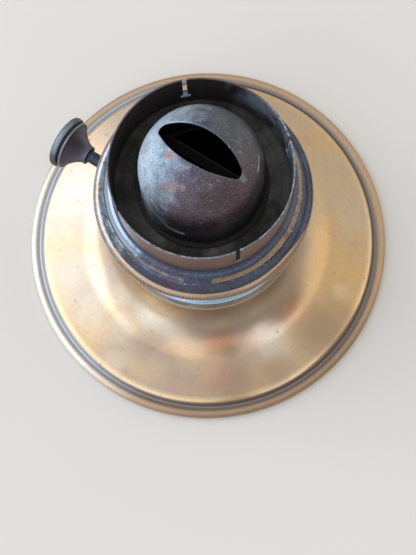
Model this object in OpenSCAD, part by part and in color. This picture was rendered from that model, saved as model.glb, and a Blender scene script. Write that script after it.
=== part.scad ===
// Flat-wick kerosene lamp of aged brass, without its glass chimney.
// The origin is at the bottom centre of the font, with +Z up. The thumb wheel points along -X,
// and the flat wick lies in the XZ plane.

/* [Font] */
// Widest diameter of the font, across its rim bead
font_d = 127; // [116:1:140]
// Height of the neck's lip above the table
neck_h = 35.8; // [31:0.2:42]
// Width of the neck's lip, on which the collar stands
lip_w = 3.5; // [3:0.1:4.4]
// Slope of the font's broad top, in degrees
top_slope = 6; // [3:0.5:10]
// Radius of the cove between the broad top and the neck
cove_r = 17; // [10:0.5:20]
// Sheet thickness of the font
font_wall = 0.9; // [0.7:0.1:1.2]
// Radius of the rim bead
rim_r = 1.9; // [1.6:0.1:2.3]
// Width of the flat foot inside the rim bead
foot_w = 2.2; // [1.8:0.1:3]
// Height of the groove's floor above the table
groove_h = 2.5; // [2.4:0.1:2.8]
// Width of the groove's floor
groove_w = 0.5; // [0.3:0.1:1.2]
// Radius of the shoulder above the groove
shoulder_r = 2.2; // [1.6:0.1:3]
// Height of the straight wall between groove and shoulder
shoulder_rise = 0.5; // [0.2:0.1:1.5]
// Height of the bottom plate's edge above the table
bottom_lift = 0.7; // [0.5:0.1:0.9]
// Thickness of the bottom plate
bottom_t = 0.9; // [0.7:0.1:1.1]
// How far the middle of the bottom plate is dished upward
dish_h = 1.4; // [0.8:0.1:2.5]
// Width of the bottom plate's flat edge
dish_edge = 8; // [5:0.5:14]

/* [Collar] */
// Diameter of the collar's bore
collar_bore_d = 50; // [48:0.2:51]
// Height of the collar above the neck's lip
collar_h = 5.4; // [4.8:0.1:7]
// Radius of the collar's lower bead
collar_bead_r = 1; // [0.8:0.05:1.2]
// How far the collar's lower bead stands out from the neck
collar_bead_out = 2; // [1.2:0.1:2.6]
// Radius of the collar's upper round
collar_round_r = 1.7; // [1.4:0.05:1.8]
// How far the collar's upper round lies inside its lower bead
collar_round_in = 1.2; // [0.6:0.1:1.6]
// Length of the sleeve inside the neck
sleeve_h = 3; // [2:0.1:5]
// Wall of the sleeve inside the neck
sleeve_wall = 0.6; // [0.5:0.1:1]
// Thickness of the sealing washer
washer_t = 0.6; // [0.4:0.1:1]

/* [Burner] */
// Length of the burner's screw skirt
skirt_h = 7; // [5:0.2:9]
// Radial clearance of the screw skirt in the collar
skirt_gap = 0.3; // [0.25:0.05:0.5]
// Sheet thickness of the burner's base
base_wall = 0.9; // [0.7:0.1:1.2]
// How far the burner's base stands out from the washer under it and the basket on it
base_lip = 0.3; // [0.2:0.05:1]
// How far the air basket's wall lies inside the gallery ring's
basket_step = 0.4; // [0.2:0.1:1]
// Height of the air basket
basket_h = 29.6; // [27:0.2:34]
// Sheet thickness of the basket and of its fittings
basket_wall = 0.5; // [0.4:0.1:0.7]
// Diameter of an air hole in the basket
air_hole_d = 2.4; // [1.6:0.1:2.8]
// Number of air holes in a row
air_holes = 30; // [20:2:36]
// Number of rows of air holes
air_rows = 3; // [2:1:3]
// Height of the lowest row above the basket's foot
air_row_first = 5; // [3:0.2:6]
// Distance between the rows
air_row_step = 4; // [3.6:0.1:4.4]
// Height of the draught plate above the basket's foot
draught_h = 16.5; // [15.5:0.5:20]
// Thickness of the draught plate
draught_t = 0.6; // [0.5:0.1:1]
// Diameter of a hole in the draught plate
draught_hole_d = 2; // [1.4:0.1:2.4]
// Outer diameter of the vent tube
vent_d = 3; // [2.4:0.1:4]
// Wall of the vent tube
vent_wall = 0.4; // [0.3:0.05:0.6]
// Length of the vent tube above the burner's base
vent_top = 11; // [8:0.5:13]
// Length of the vent tube below the burner's base
vent_drop = 5; // [3:0.5:8]

/* [Wick] */
// Width of the wick
wick_w = 24.4; // [22:0.2:25]
// Thickness of the wick
wick_t = 2.2; // [1.8:0.1:2.6]
// Height of the wick's top above its tube at rest
wick_show = 1.2; // [0.8:0.1:1.6]
// Length of the wick below the burner's base
wick_drop = 27; // [22:0.5:28]
// Clearance of the wick in its tube on each side
wick_gap = 0.4; // [0.3:0.05:0.6]
// Wall of the wick tube
tube_wall = 0.5; // [0.4:0.05:0.6]
// Length of the wick tube below the burner's base
tube_drop = 8; // [6:0.5:14]
// Height of the wick tube's top above the gallery floor
tube_rise = 19.6; // [17:0.2:20.2]

/* [Wick raiser] */
// Diameter of the shaft
shaft_d = 4; // [3.4:0.1:4.2]
// Clearance between the spur box and the burner's base
box_lift = 0.4; // [0.3:0.05:1]
// Running clearance of the shaft in its bearings, on the radius
shaft_gap = 0.05; // [0.02:0.01:0.1]
// Tip radius of a spur wheel
spur_r = 4.2; // [3.8:0.1:4.4]
// Depth of a spur wheel's teeth
spur_depth = 1.1; // [0.8:0.1:1.2]
// Number of teeth on a spur wheel
spur_teeth = 12; // [8:1:16]
// Thickness of a spur wheel
spur_t = 1.2; // [0.8:0.1:1.6]
// Distance between spur wheels
spur_pitch = 5; // [4.4:0.1:5.4]
// Clearance between the spur wheels and the wick
spur_gap = 0.2; // [0.15:0.05:0.4]
// Space round the spur wheels inside their box
box_gap = 0.6; // [0.4:0.1:0.8]
// Wall of the spur box
box_wall = 0.6; // [0.5:0.1:0.8]
// Length of the spur box
box_l = 21; // [20:0.2:22]
// Width of a ring on the shaft
stop_w = 1.8; // [1.2:0.1:2.4]
// Thickness of a ring on the shaft, on the radius
stop_wall = 1.2; // [0.8:0.1:1.6]
// Play between the rings and the spur box
stop_gap = 0.3; // [0.2:0.05:0.5]
// Length of the bush in the basket wall
bush_l = 6; // [4:0.2:8]
// Wall of the bush
bush_wall = 0.9; // [0.6:0.1:1.2]

/* [Thumb wheel] */
// Distance from the lamp's axis to the thumb wheel's face
wheel_reach = 49.6; // [46:0.2:54]
// Diameter of the thumb wheel
wheel_d = 17; // [15:0.5:20]
// Width of the thumb wheel's milled cap
wheel_w = 3; // [2.4:0.1:4]
// Number of serrations on the cap's edge
wheel_teeth = 56; // [40:2:72]
// Depth of a serration
wheel_depth = 0.35; // [0.2:0.05:0.5]
// Wall of the cap's face
cap_face = 0.9; // [0.7:0.1:1.2]
// Wall of the cap's edge, under its serrations
cap_edge = 0.8; // [0.6:0.1:1]
// Length of the flared hub behind the cap
hub_l = 7; // [6:0.2:9]
// How far the hub's wide end sits inside the cap
hub_inset = 1; // [0.6:0.1:1.2]
// Width of the groove between the cap and the hub's ridge
hub_groove = 0.5; // [0.3:0.05:0.8]
// Radius of the hub's ridge
hub_ridge_r = 0.4; // [0.3:0.05:0.6]
// How far the hub's ridge stands out from its groove
hub_ridge_out = 0.7; // [0.4:0.05:0.8]
// Diameter of the hub's neck
hub_neck_d = 5.8; // [5.4:0.1:7]
// Radius of the ring at the end of the hub
hub_ring_r = 0.7; // [0.5:0.05:1]
// Diameter of the shaft's riveted head
head_d = 5.6; // [5:0.1:7]
// Height of the shaft's riveted head
head_h = 0.7; // [0.5:0.05:1]

/* [Gallery] */
// Thickness of the gallery's sheets
gallery_wall = 0.6; // [0.5:0.05:0.7]
// Outer diameter of the gallery ring, which holds the chimney
ring_d = 52; // [50:0.2:52.2]
// Wall of the gallery ring
ring_wall = 0.5; // [0.4:0.05:0.6]
// Height of the gallery ring above the floor
ring_h = 15.6; // [12:0.2:18]
// Angles of the slits from +X
slit_angles = [50, 133, 240, 325]; // [0:1:360]
// Width of a slit
slit_w = 1.3; // [0.8:0.1:1.8]
// Length of a slit, with its foot
slit_l = 12.4; // [8:0.2:13]
// Width of a slit's foot
slit_foot_w = 3; // [2:0.1:5]
// Height of a slit's foot
slit_foot_h = 1.3; // [0.8:0.1:2]
// Width of the gallery floor outside the ring
floor_lip = 0.7; // [0.5:0.1:1.2]
// Diameter of the hole in the gallery floor
floor_hole_d = 32.6; // [31:0.2:33.2]
// Height of the spigot that plugs into the basket
spigot_h = 6; // [4:0.2:8]
// Radial clearance of the spigot in the basket
spigot_gap = 0.3; // [0.2:0.05:0.5]
// Radial clearance of the flange round the basket
flange_gap = 0.3; // [0.25:0.05:0.6]
// How far the flange's milled edge stands out from the strip
flange_out = 3.7; // [3:0.1:6]
// Radius of the milled edge
edge_r = 1.6; // [1.2:0.1:1.8]
// Depth of the milled edge's centre below the gallery floor
edge_drop = 9.2; // [8.6:0.1:11]
// How far the strip stands out from the gallery floor's edge
strip_out = 2.4; // [2:0.1:3]
// Height of the strip
strip_h = 1.2; // [0.8:0.1:1.6]
// Depth of the groove under the strip
strip_groove = 0.5; // [0.3:0.05:0.6]
// Radius of the bead between strip and floor
bead_r = 2.1; // [1.8:0.05:2.2]
// Width of the ledge on which the strip stands out from the bead
bead_ledge = 0.5; // [0.2:0.05:0.7]

/* [Flame dome] */
// Outer diameter of the dome
dome_d = 35; // [33.6:0.2:38]
// Sheet thickness of the dome
dome_wall = 0.6; // [0.5:0.05:0.7]
// Height of the ball's centre above the gallery floor
dome_rise = 13.8; // [11:0.2:16]
// Width of the dome's foot flange
dome_foot = 2; // [1.4:0.1:2.6]
// Radius of the round between the dome and its foot
dome_fillet = 1.2; // [0.8:0.1:1.3]
// Length of the flame slot
slot_l = 27; // [25.4:0.2:29]
// Width of the flame slot
slot_w = 10.4; // [8:0.2:12]
// Radius of the flame slot's tips
slot_tip_r = 2; // [1:0.1:3]

/* [Hidden] */

$fn = 96;
// Overshoot of a cut past the face that it goes through
cut = 1;
// Clearance between soldered pieces with curved faces
solder = 0.1;
arc_steps = 12;
fine_steps = 20;
spur_wheels = 4;

brass = "#b08b46";
gold_brass = "#c29a4d";
dark_bronze = "#4a4038";
copper_brown = "#8a6043";
blue_grey = "#5d6470";
leather = "#5a4230";
cotton = "#cfc4ab";

// Collar bore, and the neck round it
bore_r = collar_bore_d / 2;
lip_r = bore_r + sleeve_wall + solder;
neck_r = lip_r + lip_w;

// Font
rim_c = [font_d / 2 - rim_r, rim_r];
foot_in = rim_c.x - foot_w;
bead_end = 180 - asin((groove_h - rim_r) / rim_r);
shoulder_c = [
    rim_c.x + rim_r * cos(bead_end) - groove_w - shoulder_r,
    groove_h + shoulder_rise
];
// Direction square to the broad top, in which the shoulder and the cove touch it
top_n = [sin(top_slope), cos(top_slope)];
shoulder_p = shoulder_c + shoulder_r * top_n;
cove_x = neck_r + cove_r;
cove_c = [cove_x, shoulder_p.y + (cove_r - (cove_x - shoulder_p.x) * top_n.x) / top_n.y];
plate_r = foot_in - solder;
ledge_h = bottom_lift + bottom_t;

// Collar and washer
collar_r = neck_r + collar_bead_out;
collar_top = neck_h + collar_h;
collar_bead_c = [collar_r - collar_bead_r, neck_h + collar_bead_r];
collar_round_c = [collar_r - collar_round_in - collar_round_r, collar_top - collar_round_r];
// Angle at which the upper round leaves the lower bead
collar_nip = -60;

// Burner
base_z = collar_top + washer_t;
base_top = base_z + base_wall;
skirt_r = bore_r - skirt_gap;
ring_r = ring_d / 2;
basket_r = ring_r - basket_step;
base_edge_r = max(collar_round_c.x, basket_r) + base_lip;
basket_in = basket_r - basket_wall;
basket_top = base_top + basket_h;
draught_z = base_top + draught_h;
draught_r = basket_in - solder;
floor_top = basket_top + gallery_wall;
tube_in_w = wick_w + 2 * wick_gap;
tube_in_t = wick_t + 2 * wick_gap;
tube_w = tube_in_w + 2 * tube_wall;
tube_t = tube_in_t + 2 * tube_wall;
tube_bottom = base_z - tube_drop;
tube_top = floor_top + tube_rise;
wick_top = tube_top + wick_show;
wick_bottom = base_z - wick_drop;
vent_r = vent_d / 2;
// The vent tube stands midway between the wick tube and the skirt, on the side away from the shaft
vent_y = (tube_t / 2 + skirt_r - base_wall) / 2;

// Wick raiser
shaft_r = shaft_d / 2;
bearing_r = shaft_r + shaft_gap;
shaft_y = -(wick_t / 2 + spur_gap + spur_r);
box_in = spur_r + box_gap;
box_r = box_in + box_wall;
shaft_z = base_top + box_lift + box_r;
bush_r = bearing_r + bush_wall;
bush_x = -sqrt(pow(basket_r, 2) - pow(shaft_y, 2));
shaft_end = box_l / 2 + stop_gap + stop_w + cut;
wheel_x = -wheel_reach;
cap_back = wheel_x + wheel_w;
wheel_r = wheel_d / 2;
cap_in = wheel_r - wheel_depth - cap_edge;
head_round = (pow(head_d / 2, 2) + pow(head_h, 2)) / (2 * head_h);

// Gallery
ring_top = floor_top + ring_h;
floor_r = ring_r + floor_lip;
spigot_r = basket_in - spigot_gap;
flange_in = basket_r + flange_gap;
strip_r = floor_r + strip_out;
edge_c = [strip_r + flange_out - edge_r, basket_top - edge_drop];
bead_c = [strip_r - bead_ledge - bead_r, basket_top - bead_r];
strip_top = bead_c.y;
strip_foot = strip_top - strip_h;
slope_top = [strip_r, strip_foot - 2 * strip_groove];
slope_in = [strip_r - gallery_wall - strip_groove, slope_top.y];

// Flame dome
dome_r = dome_d / 2;
dome_in = dome_r - dome_wall;
dome_c = floor_top + dome_rise;
foot_top = floor_top + dome_wall;
foot_r = dome_r + dome_foot;

// Points along a round stretch, from angle a0 to angle a1 about c
function arc(c, r, a0, a1, n) =
    [for (i = [0:n]) c + r * [cos(a0 + (a1 - a0) * i / n), sin(a0 + (a1 - a0) * i / n)]];

// Outline of a toothed wheel, with every second point at the tooth's root
function toothed(r, depth, teeth) =
    [for (i = [0:2 * teeth - 1]) (r - depth * (i % 2)) * [cos(180 * i / teeth), sin(180 * i / teeth)]];

// Flat outline with round ends, w wide over all and t thick
function flat_oval(w, t) = concat(
    arc([(w - t) / 2, 0], t / 2, -90, 90, arc_steps),
    arc([-(w - t) / 2, 0], t / 2, 90, 270, arc_steps)
);

// Outline of an eye from two long arcs, with round tips that run smoothly into them
function eye(l, w, tip) =
    let (
        x = l / 2 - tip,
        b = w / 2 - tip,
        k = (x * x - b * b) / (2 * b),
        r = w / 2 + k,
        a = atan2(k, x)
    ) concat(
        arc([x, 0], tip, -a, a, arc_steps),
        inner(arc([0, -k], r, a, 180 - a, fine_steps)),
        arc([-x, 0], tip, 180 - a, 180 + a, arc_steps),
        inner(arc([0, k], r, 180 + a, 360 - a, fine_steps))
    );

// The points of a stretch without its two ends, which its neighbours already have
function inner(points) = [for (i = [1:len(points) - 2]) points[i]];

module tube(r, wall, z0, z1) {
    difference() {
        translate([0, 0, z0])
            cylinder(r = r, h = z1 - z0);
        translate([0, 0, z0 - cut])
            cylinder(r = r - wall, h = z1 - z0 + 2 * cut);
    }
}

// Stands its children on the shaft's line, with their own Z axis along +X
module on_shaft(x) {
    translate([x, shaft_y, shaft_z])
        rotate([0, 90, 0])
            children();
}

module font_shell() {
    color(gold_brass)
        rotate_extrude()
            polygon(concat(
                [[foot_in, 0]],
                arc(rim_c, rim_r, -90, bead_end, arc_steps),
                [[shoulder_c.x + shoulder_r, groove_h]],
                arc(shoulder_c, shoulder_r, 0, 90 - top_slope, arc_steps),
                arc(cove_c, cove_r, 270 - top_slope, 180, fine_steps),
                [
                    [neck_r, neck_h],
                    [lip_r, neck_h],
                    [lip_r, neck_h - font_wall],
                    [neck_r - font_wall, neck_h - font_wall]
                ],
                arc(cove_c, cove_r + font_wall, 180, 270 - top_slope, fine_steps),
                arc(shoulder_c, shoulder_r - font_wall, 90 - top_slope, 0, arc_steps),
                [[shoulder_c.x + shoulder_r - font_wall, ledge_h], [foot_in, ledge_h]]
            ));
}

module font_bottom() {
    inner_r = plate_r - dish_edge;
    color(brass)
        rotate_extrude()
            polygon([
                [0, bottom_lift + dish_h],
                [inner_r - dish_h, bottom_lift + dish_h],
                [inner_r, bottom_lift],
                [plate_r, bottom_lift],
                [plate_r, ledge_h],
                [inner_r, ledge_h],
                [inner_r - dish_h, ledge_h + dish_h],
                [0, ledge_h + dish_h]
            ]);
}

module font_collar() {
    color(gold_brass)
        rotate_extrude()
            polygon(concat(
                [
                    [bore_r, neck_h - sleeve_h],
                    [bore_r + sleeve_wall, neck_h - sleeve_h],
                    [bore_r + sleeve_wall, neck_h]
                ],
                arc(collar_bead_c, collar_bead_r, -90, 90, arc_steps),
                arc(collar_round_c, collar_round_r, collar_nip, 90, arc_steps),
                [[bore_r, collar_top]]
            ));
}

module collar_washer() {
    color(leather)
        tube(collar_round_c.x, collar_round_c.x - bore_r - solder, collar_top, base_z);
}

module burner_base() {
    color(brass)
        difference() {
            rotate_extrude()
                polygon(concat(
                    [
                        [0, base_z],
                        [skirt_r - base_wall, base_z],
                        [skirt_r - base_wall, base_z - skirt_h],
                        [skirt_r, base_z - skirt_h],
                        [skirt_r, base_z]
                    ],
                    arc([base_edge_r - base_wall / 2, base_z + base_wall / 2], base_wall / 2, -90, 90, arc_steps),
                    [[0, base_top]]
                ));
            translate([0, 0, base_z - cut])
                linear_extrude(base_wall + 2 * cut)
                    polygon(flat_oval(tube_w + 2 * solder, tube_t + 2 * solder));
            translate([0, vent_y, base_z - cut])
                cylinder(r = vent_r + solder, h = base_wall + 2 * cut);
        }
}

// Air holes stand clear of the bush by their own width
function near_bush(a, z) =
    norm([basket_r * sin(a) - shaft_y, z - shaft_z]) < bush_r + air_hole_d && cos(a) < 0;

module air_basket() {
    hole_step = 360 / air_holes;
    color(brass)
        difference() {
            tube(basket_r, basket_wall, base_top, basket_top);
            for (row = [0:air_rows - 1]) {
                z = base_top + air_row_first + row * air_row_step;
                for (i = [0:air_holes - 1]) {
                    a = (i + row % 2 / 2) * hole_step;
                    if (!near_bush(a, z))
                        translate([0, 0, z])
                            rotate([0, 90, a])
                                translate([0, 0, basket_in - cut])
                                    cylinder(d = air_hole_d, h = basket_wall + 2 * cut, $fn = 24);
                }
            }
            on_shaft(bush_x - bush_l / 2)
                cylinder(r = bush_r + solder, h = bush_l);
        }
}

module draught_plate() {
    // Rings of holes fill the plate between the wick tube and its edge
    ring_step = 2 * draught_hole_d;
    color(brass)
        difference() {
            translate([0, 0, draught_z])
                cylinder(r = draught_r, h = draught_t);
            translate([0, 0, draught_z - cut])
                linear_extrude(draught_t + 2 * cut)
                    polygon(flat_oval(tube_w + 2 * solder, tube_t + 2 * solder));
            for (ring = [1:2]) {
                r = draught_r - ring * ring_step + draught_hole_d / 2;
                count = floor(2 * PI * r / ring_step);
                for (i = [0:count - 1])
                    rotate(i * 360 / count)
                        translate([r, 0, draught_z - cut])
                            cylinder(d = draught_hole_d, h = draught_t + 2 * cut, $fn = 24);
            }
        }
}

module vent_tube() {
    color(brass)
        translate([0, vent_y, 0])
            tube(vent_r, vent_wall, base_z - vent_drop, base_top + vent_top);
}

module wick_tube() {
    window_h = 2 * (sqrt(pow(spur_r, 2) - pow(shaft_y + tube_t / 2, 2)) + spur_gap);
    color(brass)
        difference() {
            translate([0, 0, tube_bottom])
                linear_extrude(tube_top - tube_bottom)
                    difference() {
                        polygon(flat_oval(tube_w, tube_t));
                        polygon(flat_oval(tube_in_w, tube_in_t));
                    }
            for (i = [1:spur_wheels])
                translate([spur_x(i), -tube_t / 2, shaft_z])
                    cube([spur_t + 2 * box_gap, 2 * tube_wall + spur_gap, window_h], center = true);
        }
}

module wick() {
    color(cotton)
        translate([0, 0, wick_bottom])
            linear_extrude(wick_top - wick_bottom)
                polygon(flat_oval(wick_w, wick_t));
}

module spur_box() {
    color(brass)
        difference() {
            on_shaft(-box_l / 2)
                cylinder(r = box_r, h = box_l);
            on_shaft(-box_l / 2 + box_wall)
                cylinder(r = box_in, h = box_l - 2 * box_wall);
            on_shaft(-box_l / 2 - cut)
                cylinder(r = bearing_r, h = box_l + 2 * cut);
            translate([-box_l, -tube_t / 2, shaft_z - box_l])
                cube(2 * box_l);
        }
}

module shaft_bush() {
    color(brass)
        on_shaft(bush_x - bush_l / 2)
            tube(bush_r, bush_wall, 0, bush_l);
}

module raiser_shaft() {
    color(dark_bronze) {
        on_shaft(wheel_x)
            cylinder(r = shaft_r, h = shaft_end - wheel_x);
        intersection() {
            on_shaft(wheel_x - head_h + head_round)
                sphere(r = head_round);
            on_shaft(wheel_x - 2 * head_h)
                cylinder(r = head_d, h = 2 * head_h);
        }
    }
}

function spur_x(i) = (i - (spur_wheels + 1) / 2) * spur_pitch;

module spur_wheel(i) {
    color(brass)
        on_shaft(spur_x(i) - spur_t / 2)
            difference() {
                linear_extrude(spur_t)
                    polygon(toothed(spur_r, spur_depth, spur_teeth));
                translate([0, 0, -cut])
                    cylinder(r = shaft_r, h = spur_t + 2 * cut);
            }
}

module shaft_collars() {
    color(brass)
        for (x = [-box_l / 2 - stop_gap - stop_w, box_l / 2 + stop_gap])
            on_shaft(x)
                difference() {
                    cylinder(r = shaft_r + stop_wall, h = stop_w);
                    translate([0, 0, -cut])
                        cylinder(r = shaft_r, h = stop_w + 2 * cut);
                }
}

module wheel_hub() {
    hub_r = hub_neck_d / 2;
    groove_r = cap_in - solder;
    ridge_c = [groove_r + hub_ridge_out - hub_ridge_r, hub_groove + hub_ridge_r];
    flare_start = hub_groove + 2 * hub_ridge_r;
    flare_l = hub_l - 2 * hub_ring_r - flare_start;
    flare_w = groove_r - hub_r;
    color(dark_bronze)
        on_shaft(cap_back)
            rotate_extrude()
                polygon(concat(
                    [[shaft_r, -hub_inset], [groove_r, -hub_inset], [groove_r, hub_groove]],
                    arc(ridge_c, hub_ridge_r, -90, 90, arc_steps),
                    [for (i = [0:arc_steps])
                        let (t = i / arc_steps)
                        [hub_r + flare_w * pow(1 - t, 2), flare_start + flare_l * t]],
                    arc([hub_r, hub_l - hub_ring_r], hub_ring_r, -90, 90, arc_steps),
                    [[shaft_r, hub_l]]
                ));
}

module wheel_cap() {
    color(dark_bronze)
        on_shaft(wheel_x)
            difference() {
                linear_extrude(wheel_w)
                    polygon(toothed(wheel_r, wheel_depth, wheel_teeth));
                translate([0, 0, cap_face])
                    cylinder(r = cap_in, h = wheel_w);
                translate([0, 0, -cut])
                    cylinder(r = shaft_r, h = wheel_w);
            }
}

module gallery_floor() {
    color(blue_grey)
        tube(floor_r, floor_r - floor_hole_d / 2, basket_top, floor_top);
}

module gallery_spigot() {
    color(brass)
        tube(spigot_r, basket_wall, basket_top - spigot_h, basket_top);
}

module gallery_flange() {
    bead_in = bead_r - gallery_wall;
    color(dark_bronze)
        rotate_extrude()
            polygon(concat(
                [[flange_in, basket_top]],
                arc(bead_c, bead_r, 90, 0, arc_steps),
                [
                    [strip_r, strip_top],
                    [strip_r, strip_foot],
                    [strip_r - strip_groove, strip_foot],
                    [strip_r - strip_groove, slope_top.y],
                    slope_top
                ],
                arc(edge_c, edge_r, 75, -160, 2 * arc_steps),
                [slope_in, [slope_in.x, strip_top]],
                [for (i = [0:arc_steps])
                    let (p = arc(bead_c, bead_in, 0, 90, arc_steps)[i])
                    if (p.x > flange_in) p],
                [[flange_in, bead_c.y + bead_in]]
            ));
}

module gallery_ring() {
    color(copper_brown)
        difference() {
            tube(ring_r, ring_wall, floor_top, ring_top);
            for (a = slit_angles)
                rotate(a)
                    translate([ring_r, 0, ring_top - slit_l]) {
                        translate([-2 * ring_wall, -slit_w / 2, 0])
                            cube([4 * ring_wall, slit_w, slit_l + cut]);
                        translate([-2 * ring_wall, -slit_foot_w / 2, 0])
                            cube([4 * ring_wall, slit_foot_w, slit_foot_h]);
                    }
        }
}

module flame_dome() {
    color(blue_grey)
        difference() {
            rotate_extrude()
                polygon(concat(
                    [[dome_in, floor_top], [foot_r, floor_top], [foot_r, foot_top]],
                    arc([dome_r + dome_fillet, foot_top + dome_fillet], dome_fillet, 270, 180, arc_steps),
                    arc([0, dome_c], dome_r, 0, 90, fine_steps),
                    arc([0, dome_c], dome_in, 90, 0, fine_steps)
                ));
            translate([0, 0, dome_c])
                linear_extrude(dome_d)
                    polygon(eye(slot_l, slot_w, slot_tip_r));
        }
}

font_shell();
font_bottom();
font_collar();
collar_washer();
burner_base();
air_basket();
draught_plate();
vent_tube();
wick_tube();
wick();
spur_box();
shaft_bush();
raiser_shaft();
for (i = [1:spur_wheels])
    spur_wheel(i);
shaft_collars();
wheel_hub();
wheel_cap();
gallery_floor();
gallery_spigot();
gallery_flange();
gallery_ring();
flame_dome();
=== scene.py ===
# %% [markdown]
# # A flat-wick kerosene lamp in aged brass
#
# The lamp stands on a broad font of thin brass, which holds the kerosene. A burner screws into the
# font's collar, and a gallery plugs onto the burner. Its split ring would hold a glass chimney,
# and the dome in it has a slot for the flame. The frame gives each piece at its real size and
# place, in metres. The pieces that show are made again here in finer forms, and each one rides on
# the body that its solid belongs to.

# %% Load the frame
import math

import bmesh
import bpy
from mathutils import Matrix, Vector, noise


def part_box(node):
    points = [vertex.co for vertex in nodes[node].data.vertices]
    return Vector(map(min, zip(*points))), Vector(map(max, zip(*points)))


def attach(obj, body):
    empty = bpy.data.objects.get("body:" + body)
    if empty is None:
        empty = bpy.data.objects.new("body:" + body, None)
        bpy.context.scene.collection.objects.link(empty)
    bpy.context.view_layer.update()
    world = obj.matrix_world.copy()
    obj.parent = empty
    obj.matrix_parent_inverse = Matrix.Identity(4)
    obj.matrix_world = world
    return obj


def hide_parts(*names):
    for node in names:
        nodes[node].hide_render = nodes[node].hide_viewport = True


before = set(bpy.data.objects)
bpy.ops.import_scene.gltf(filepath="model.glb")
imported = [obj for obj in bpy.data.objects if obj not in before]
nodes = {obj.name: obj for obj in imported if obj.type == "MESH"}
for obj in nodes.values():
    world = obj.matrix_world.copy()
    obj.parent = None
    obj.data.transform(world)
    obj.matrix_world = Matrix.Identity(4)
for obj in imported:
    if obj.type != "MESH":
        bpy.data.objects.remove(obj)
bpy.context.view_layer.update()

MM = 0.001

# %% [markdown]
# ## Camera
#
# The lamp is seen from above and a little from the front, with the thumb wheel at the upper left.
# A camera can be aimed by a tracking constraint, but its roll is then hard to set. Here its three
# axes are given, so that place, aim and roll are plain numbers. A lens of 65 mm on a sensor 36 mm
# high gives the mild perspective of a camera held about 36 cm away.

# %% Camera
scene = bpy.context.scene
scene.view_settings.view_transform = "Standard"

SENSOR_HEIGHT = 36
LENS = 64.865
NEAREST = 0.01
camera_place = Vector((50.48, -66.99, 351.26)) * MM
camera_right = Vector((0.84580, 0.53317, -0.01926)).normalized()
camera_look = Vector((-0.12050, 0.15574, -0.98042)).normalized()
camera_up = camera_right.cross(camera_look)

camera_data = bpy.data.cameras.new("camera")
camera_data.sensor_fit = "VERTICAL"
camera_data.sensor_height = SENSOR_HEIGHT
camera_data.lens = LENS
camera_data.clip_start = NEAREST
camera = bpy.data.objects.new("camera", camera_data)
scene.collection.objects.link(camera)
turn = Matrix((camera_right, camera_up, -camera_look)).transposed().to_4x4()
camera.matrix_world = Matrix.Translation(camera_place) @ turn
scene.camera = camera

# Level directions as the picture shows them
picture_right = Vector((camera_right.x, camera_right.y, 0)).normalized()
picture_back = Vector((-picture_right.y, picture_right.x, 0))
print("camera:", round(camera_place.length, 3), "m from the lamp's foot")

# %% [markdown]
# ## Node helpers
#
# A finish is a tree of shader nodes. Placing each node by hand in code takes many lines, so a few
# short helpers place one node, set or link its inputs, and hand back the socket that comes out. An
# effect that several finishes share becomes a node group, built once.

# %% Node helpers
def put(tree, socket, value):
    """Set an input to a plain value, or link it to another socket."""
    if isinstance(value, bpy.types.NodeSocket):
        tree.links.new(value, socket)
    else:
        socket.default_value = value


def add(tree, kind, inputs=(), **settings):
    """Place one node. An input is a plain value or a socket to link."""
    node = tree.nodes.new("ShaderNode" + kind)
    for name, value in settings.items():
        setattr(node, name, value)
    for name, value in dict(inputs).items():
        put(tree, node.inputs[name], value)
    return node


def feed(tree, node, **inputs):
    """Set or link inputs by their labels, with _ for a blank."""
    for label, value in inputs.items():
        put(tree, node.inputs[label.replace("_", " ")], value)


def finish(name, **plain):
    """A new material, with plain values set on its shader."""
    material = bpy.data.materials.new(name)
    material.use_nodes = True
    tree = material.node_tree
    shader = tree.nodes["Principled BSDF"]
    feed(tree, shader, **plain)
    return material, tree, shader


def calc(tree, operation, first, second=0.0):
    """Work with two numbers."""
    return add(tree, "Math", {0: first, 1: second}, operation=operation).outputs[0]


def times(tree, first, second):
    return calc(tree, "MULTIPLY", first, second)


def inverse(tree, mask):
    return calc(tree, "SUBTRACT", 1.0, mask)


def total(tree, start, parts):
    """Add masks to a number, each times its own weight."""
    for mask, weight in parts:
        start = calc(tree, "ADD", start, times(tree, mask, weight))
    return start


def fade(tree, value, low, high, start=0.0, end=1.0):
    """Turn a stretch of values into a smooth step from start to end."""
    inputs = {"Value": value, "From Min": low, "From Max": high, "To Min": start, "To Max": end}
    return add(tree, "MapRange", inputs, interpolation_type="SMOOTHSTEP").outputs[0]


def bump(tree, height, distance, strength):
    """Relief of that depth, in metres."""
    inputs = {"Height": height, "Distance": distance, "Strength": strength}
    return add(tree, "Bump", inputs).outputs[0]


print("node helpers: ready")


# %% Colour and mask helpers
def rgb(red, green, blue):
    return (red, green, blue, 1)


BLACK = rgb(0, 0, 0)


def on_piece(tree):
    """Places on the piece, in metres."""
    return add(tree, "TexCoord").outputs["Object"]


def painted(tree, name):
    """A mask that the piece carries on its points."""
    return add(tree, "Attribute", attribute_name=name).outputs["Fac"]


def mix(tree, factor, first, second, how="MIX"):
    """Blend two colours."""
    inputs = {0: factor, 6: first, 7: second}
    return add(tree, "Mix", inputs, data_type="RGBA", blend_type=how).outputs[2]


def layered(tree, colour, layers):
    """Lay colours over the first one, each through its mask or the mask of that name."""
    for mask, cover in layers:
        if isinstance(mask, str):
            mask = painted(tree, mask)
        colour = mix(tree, mask, colour, cover)
    return colour


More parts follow.
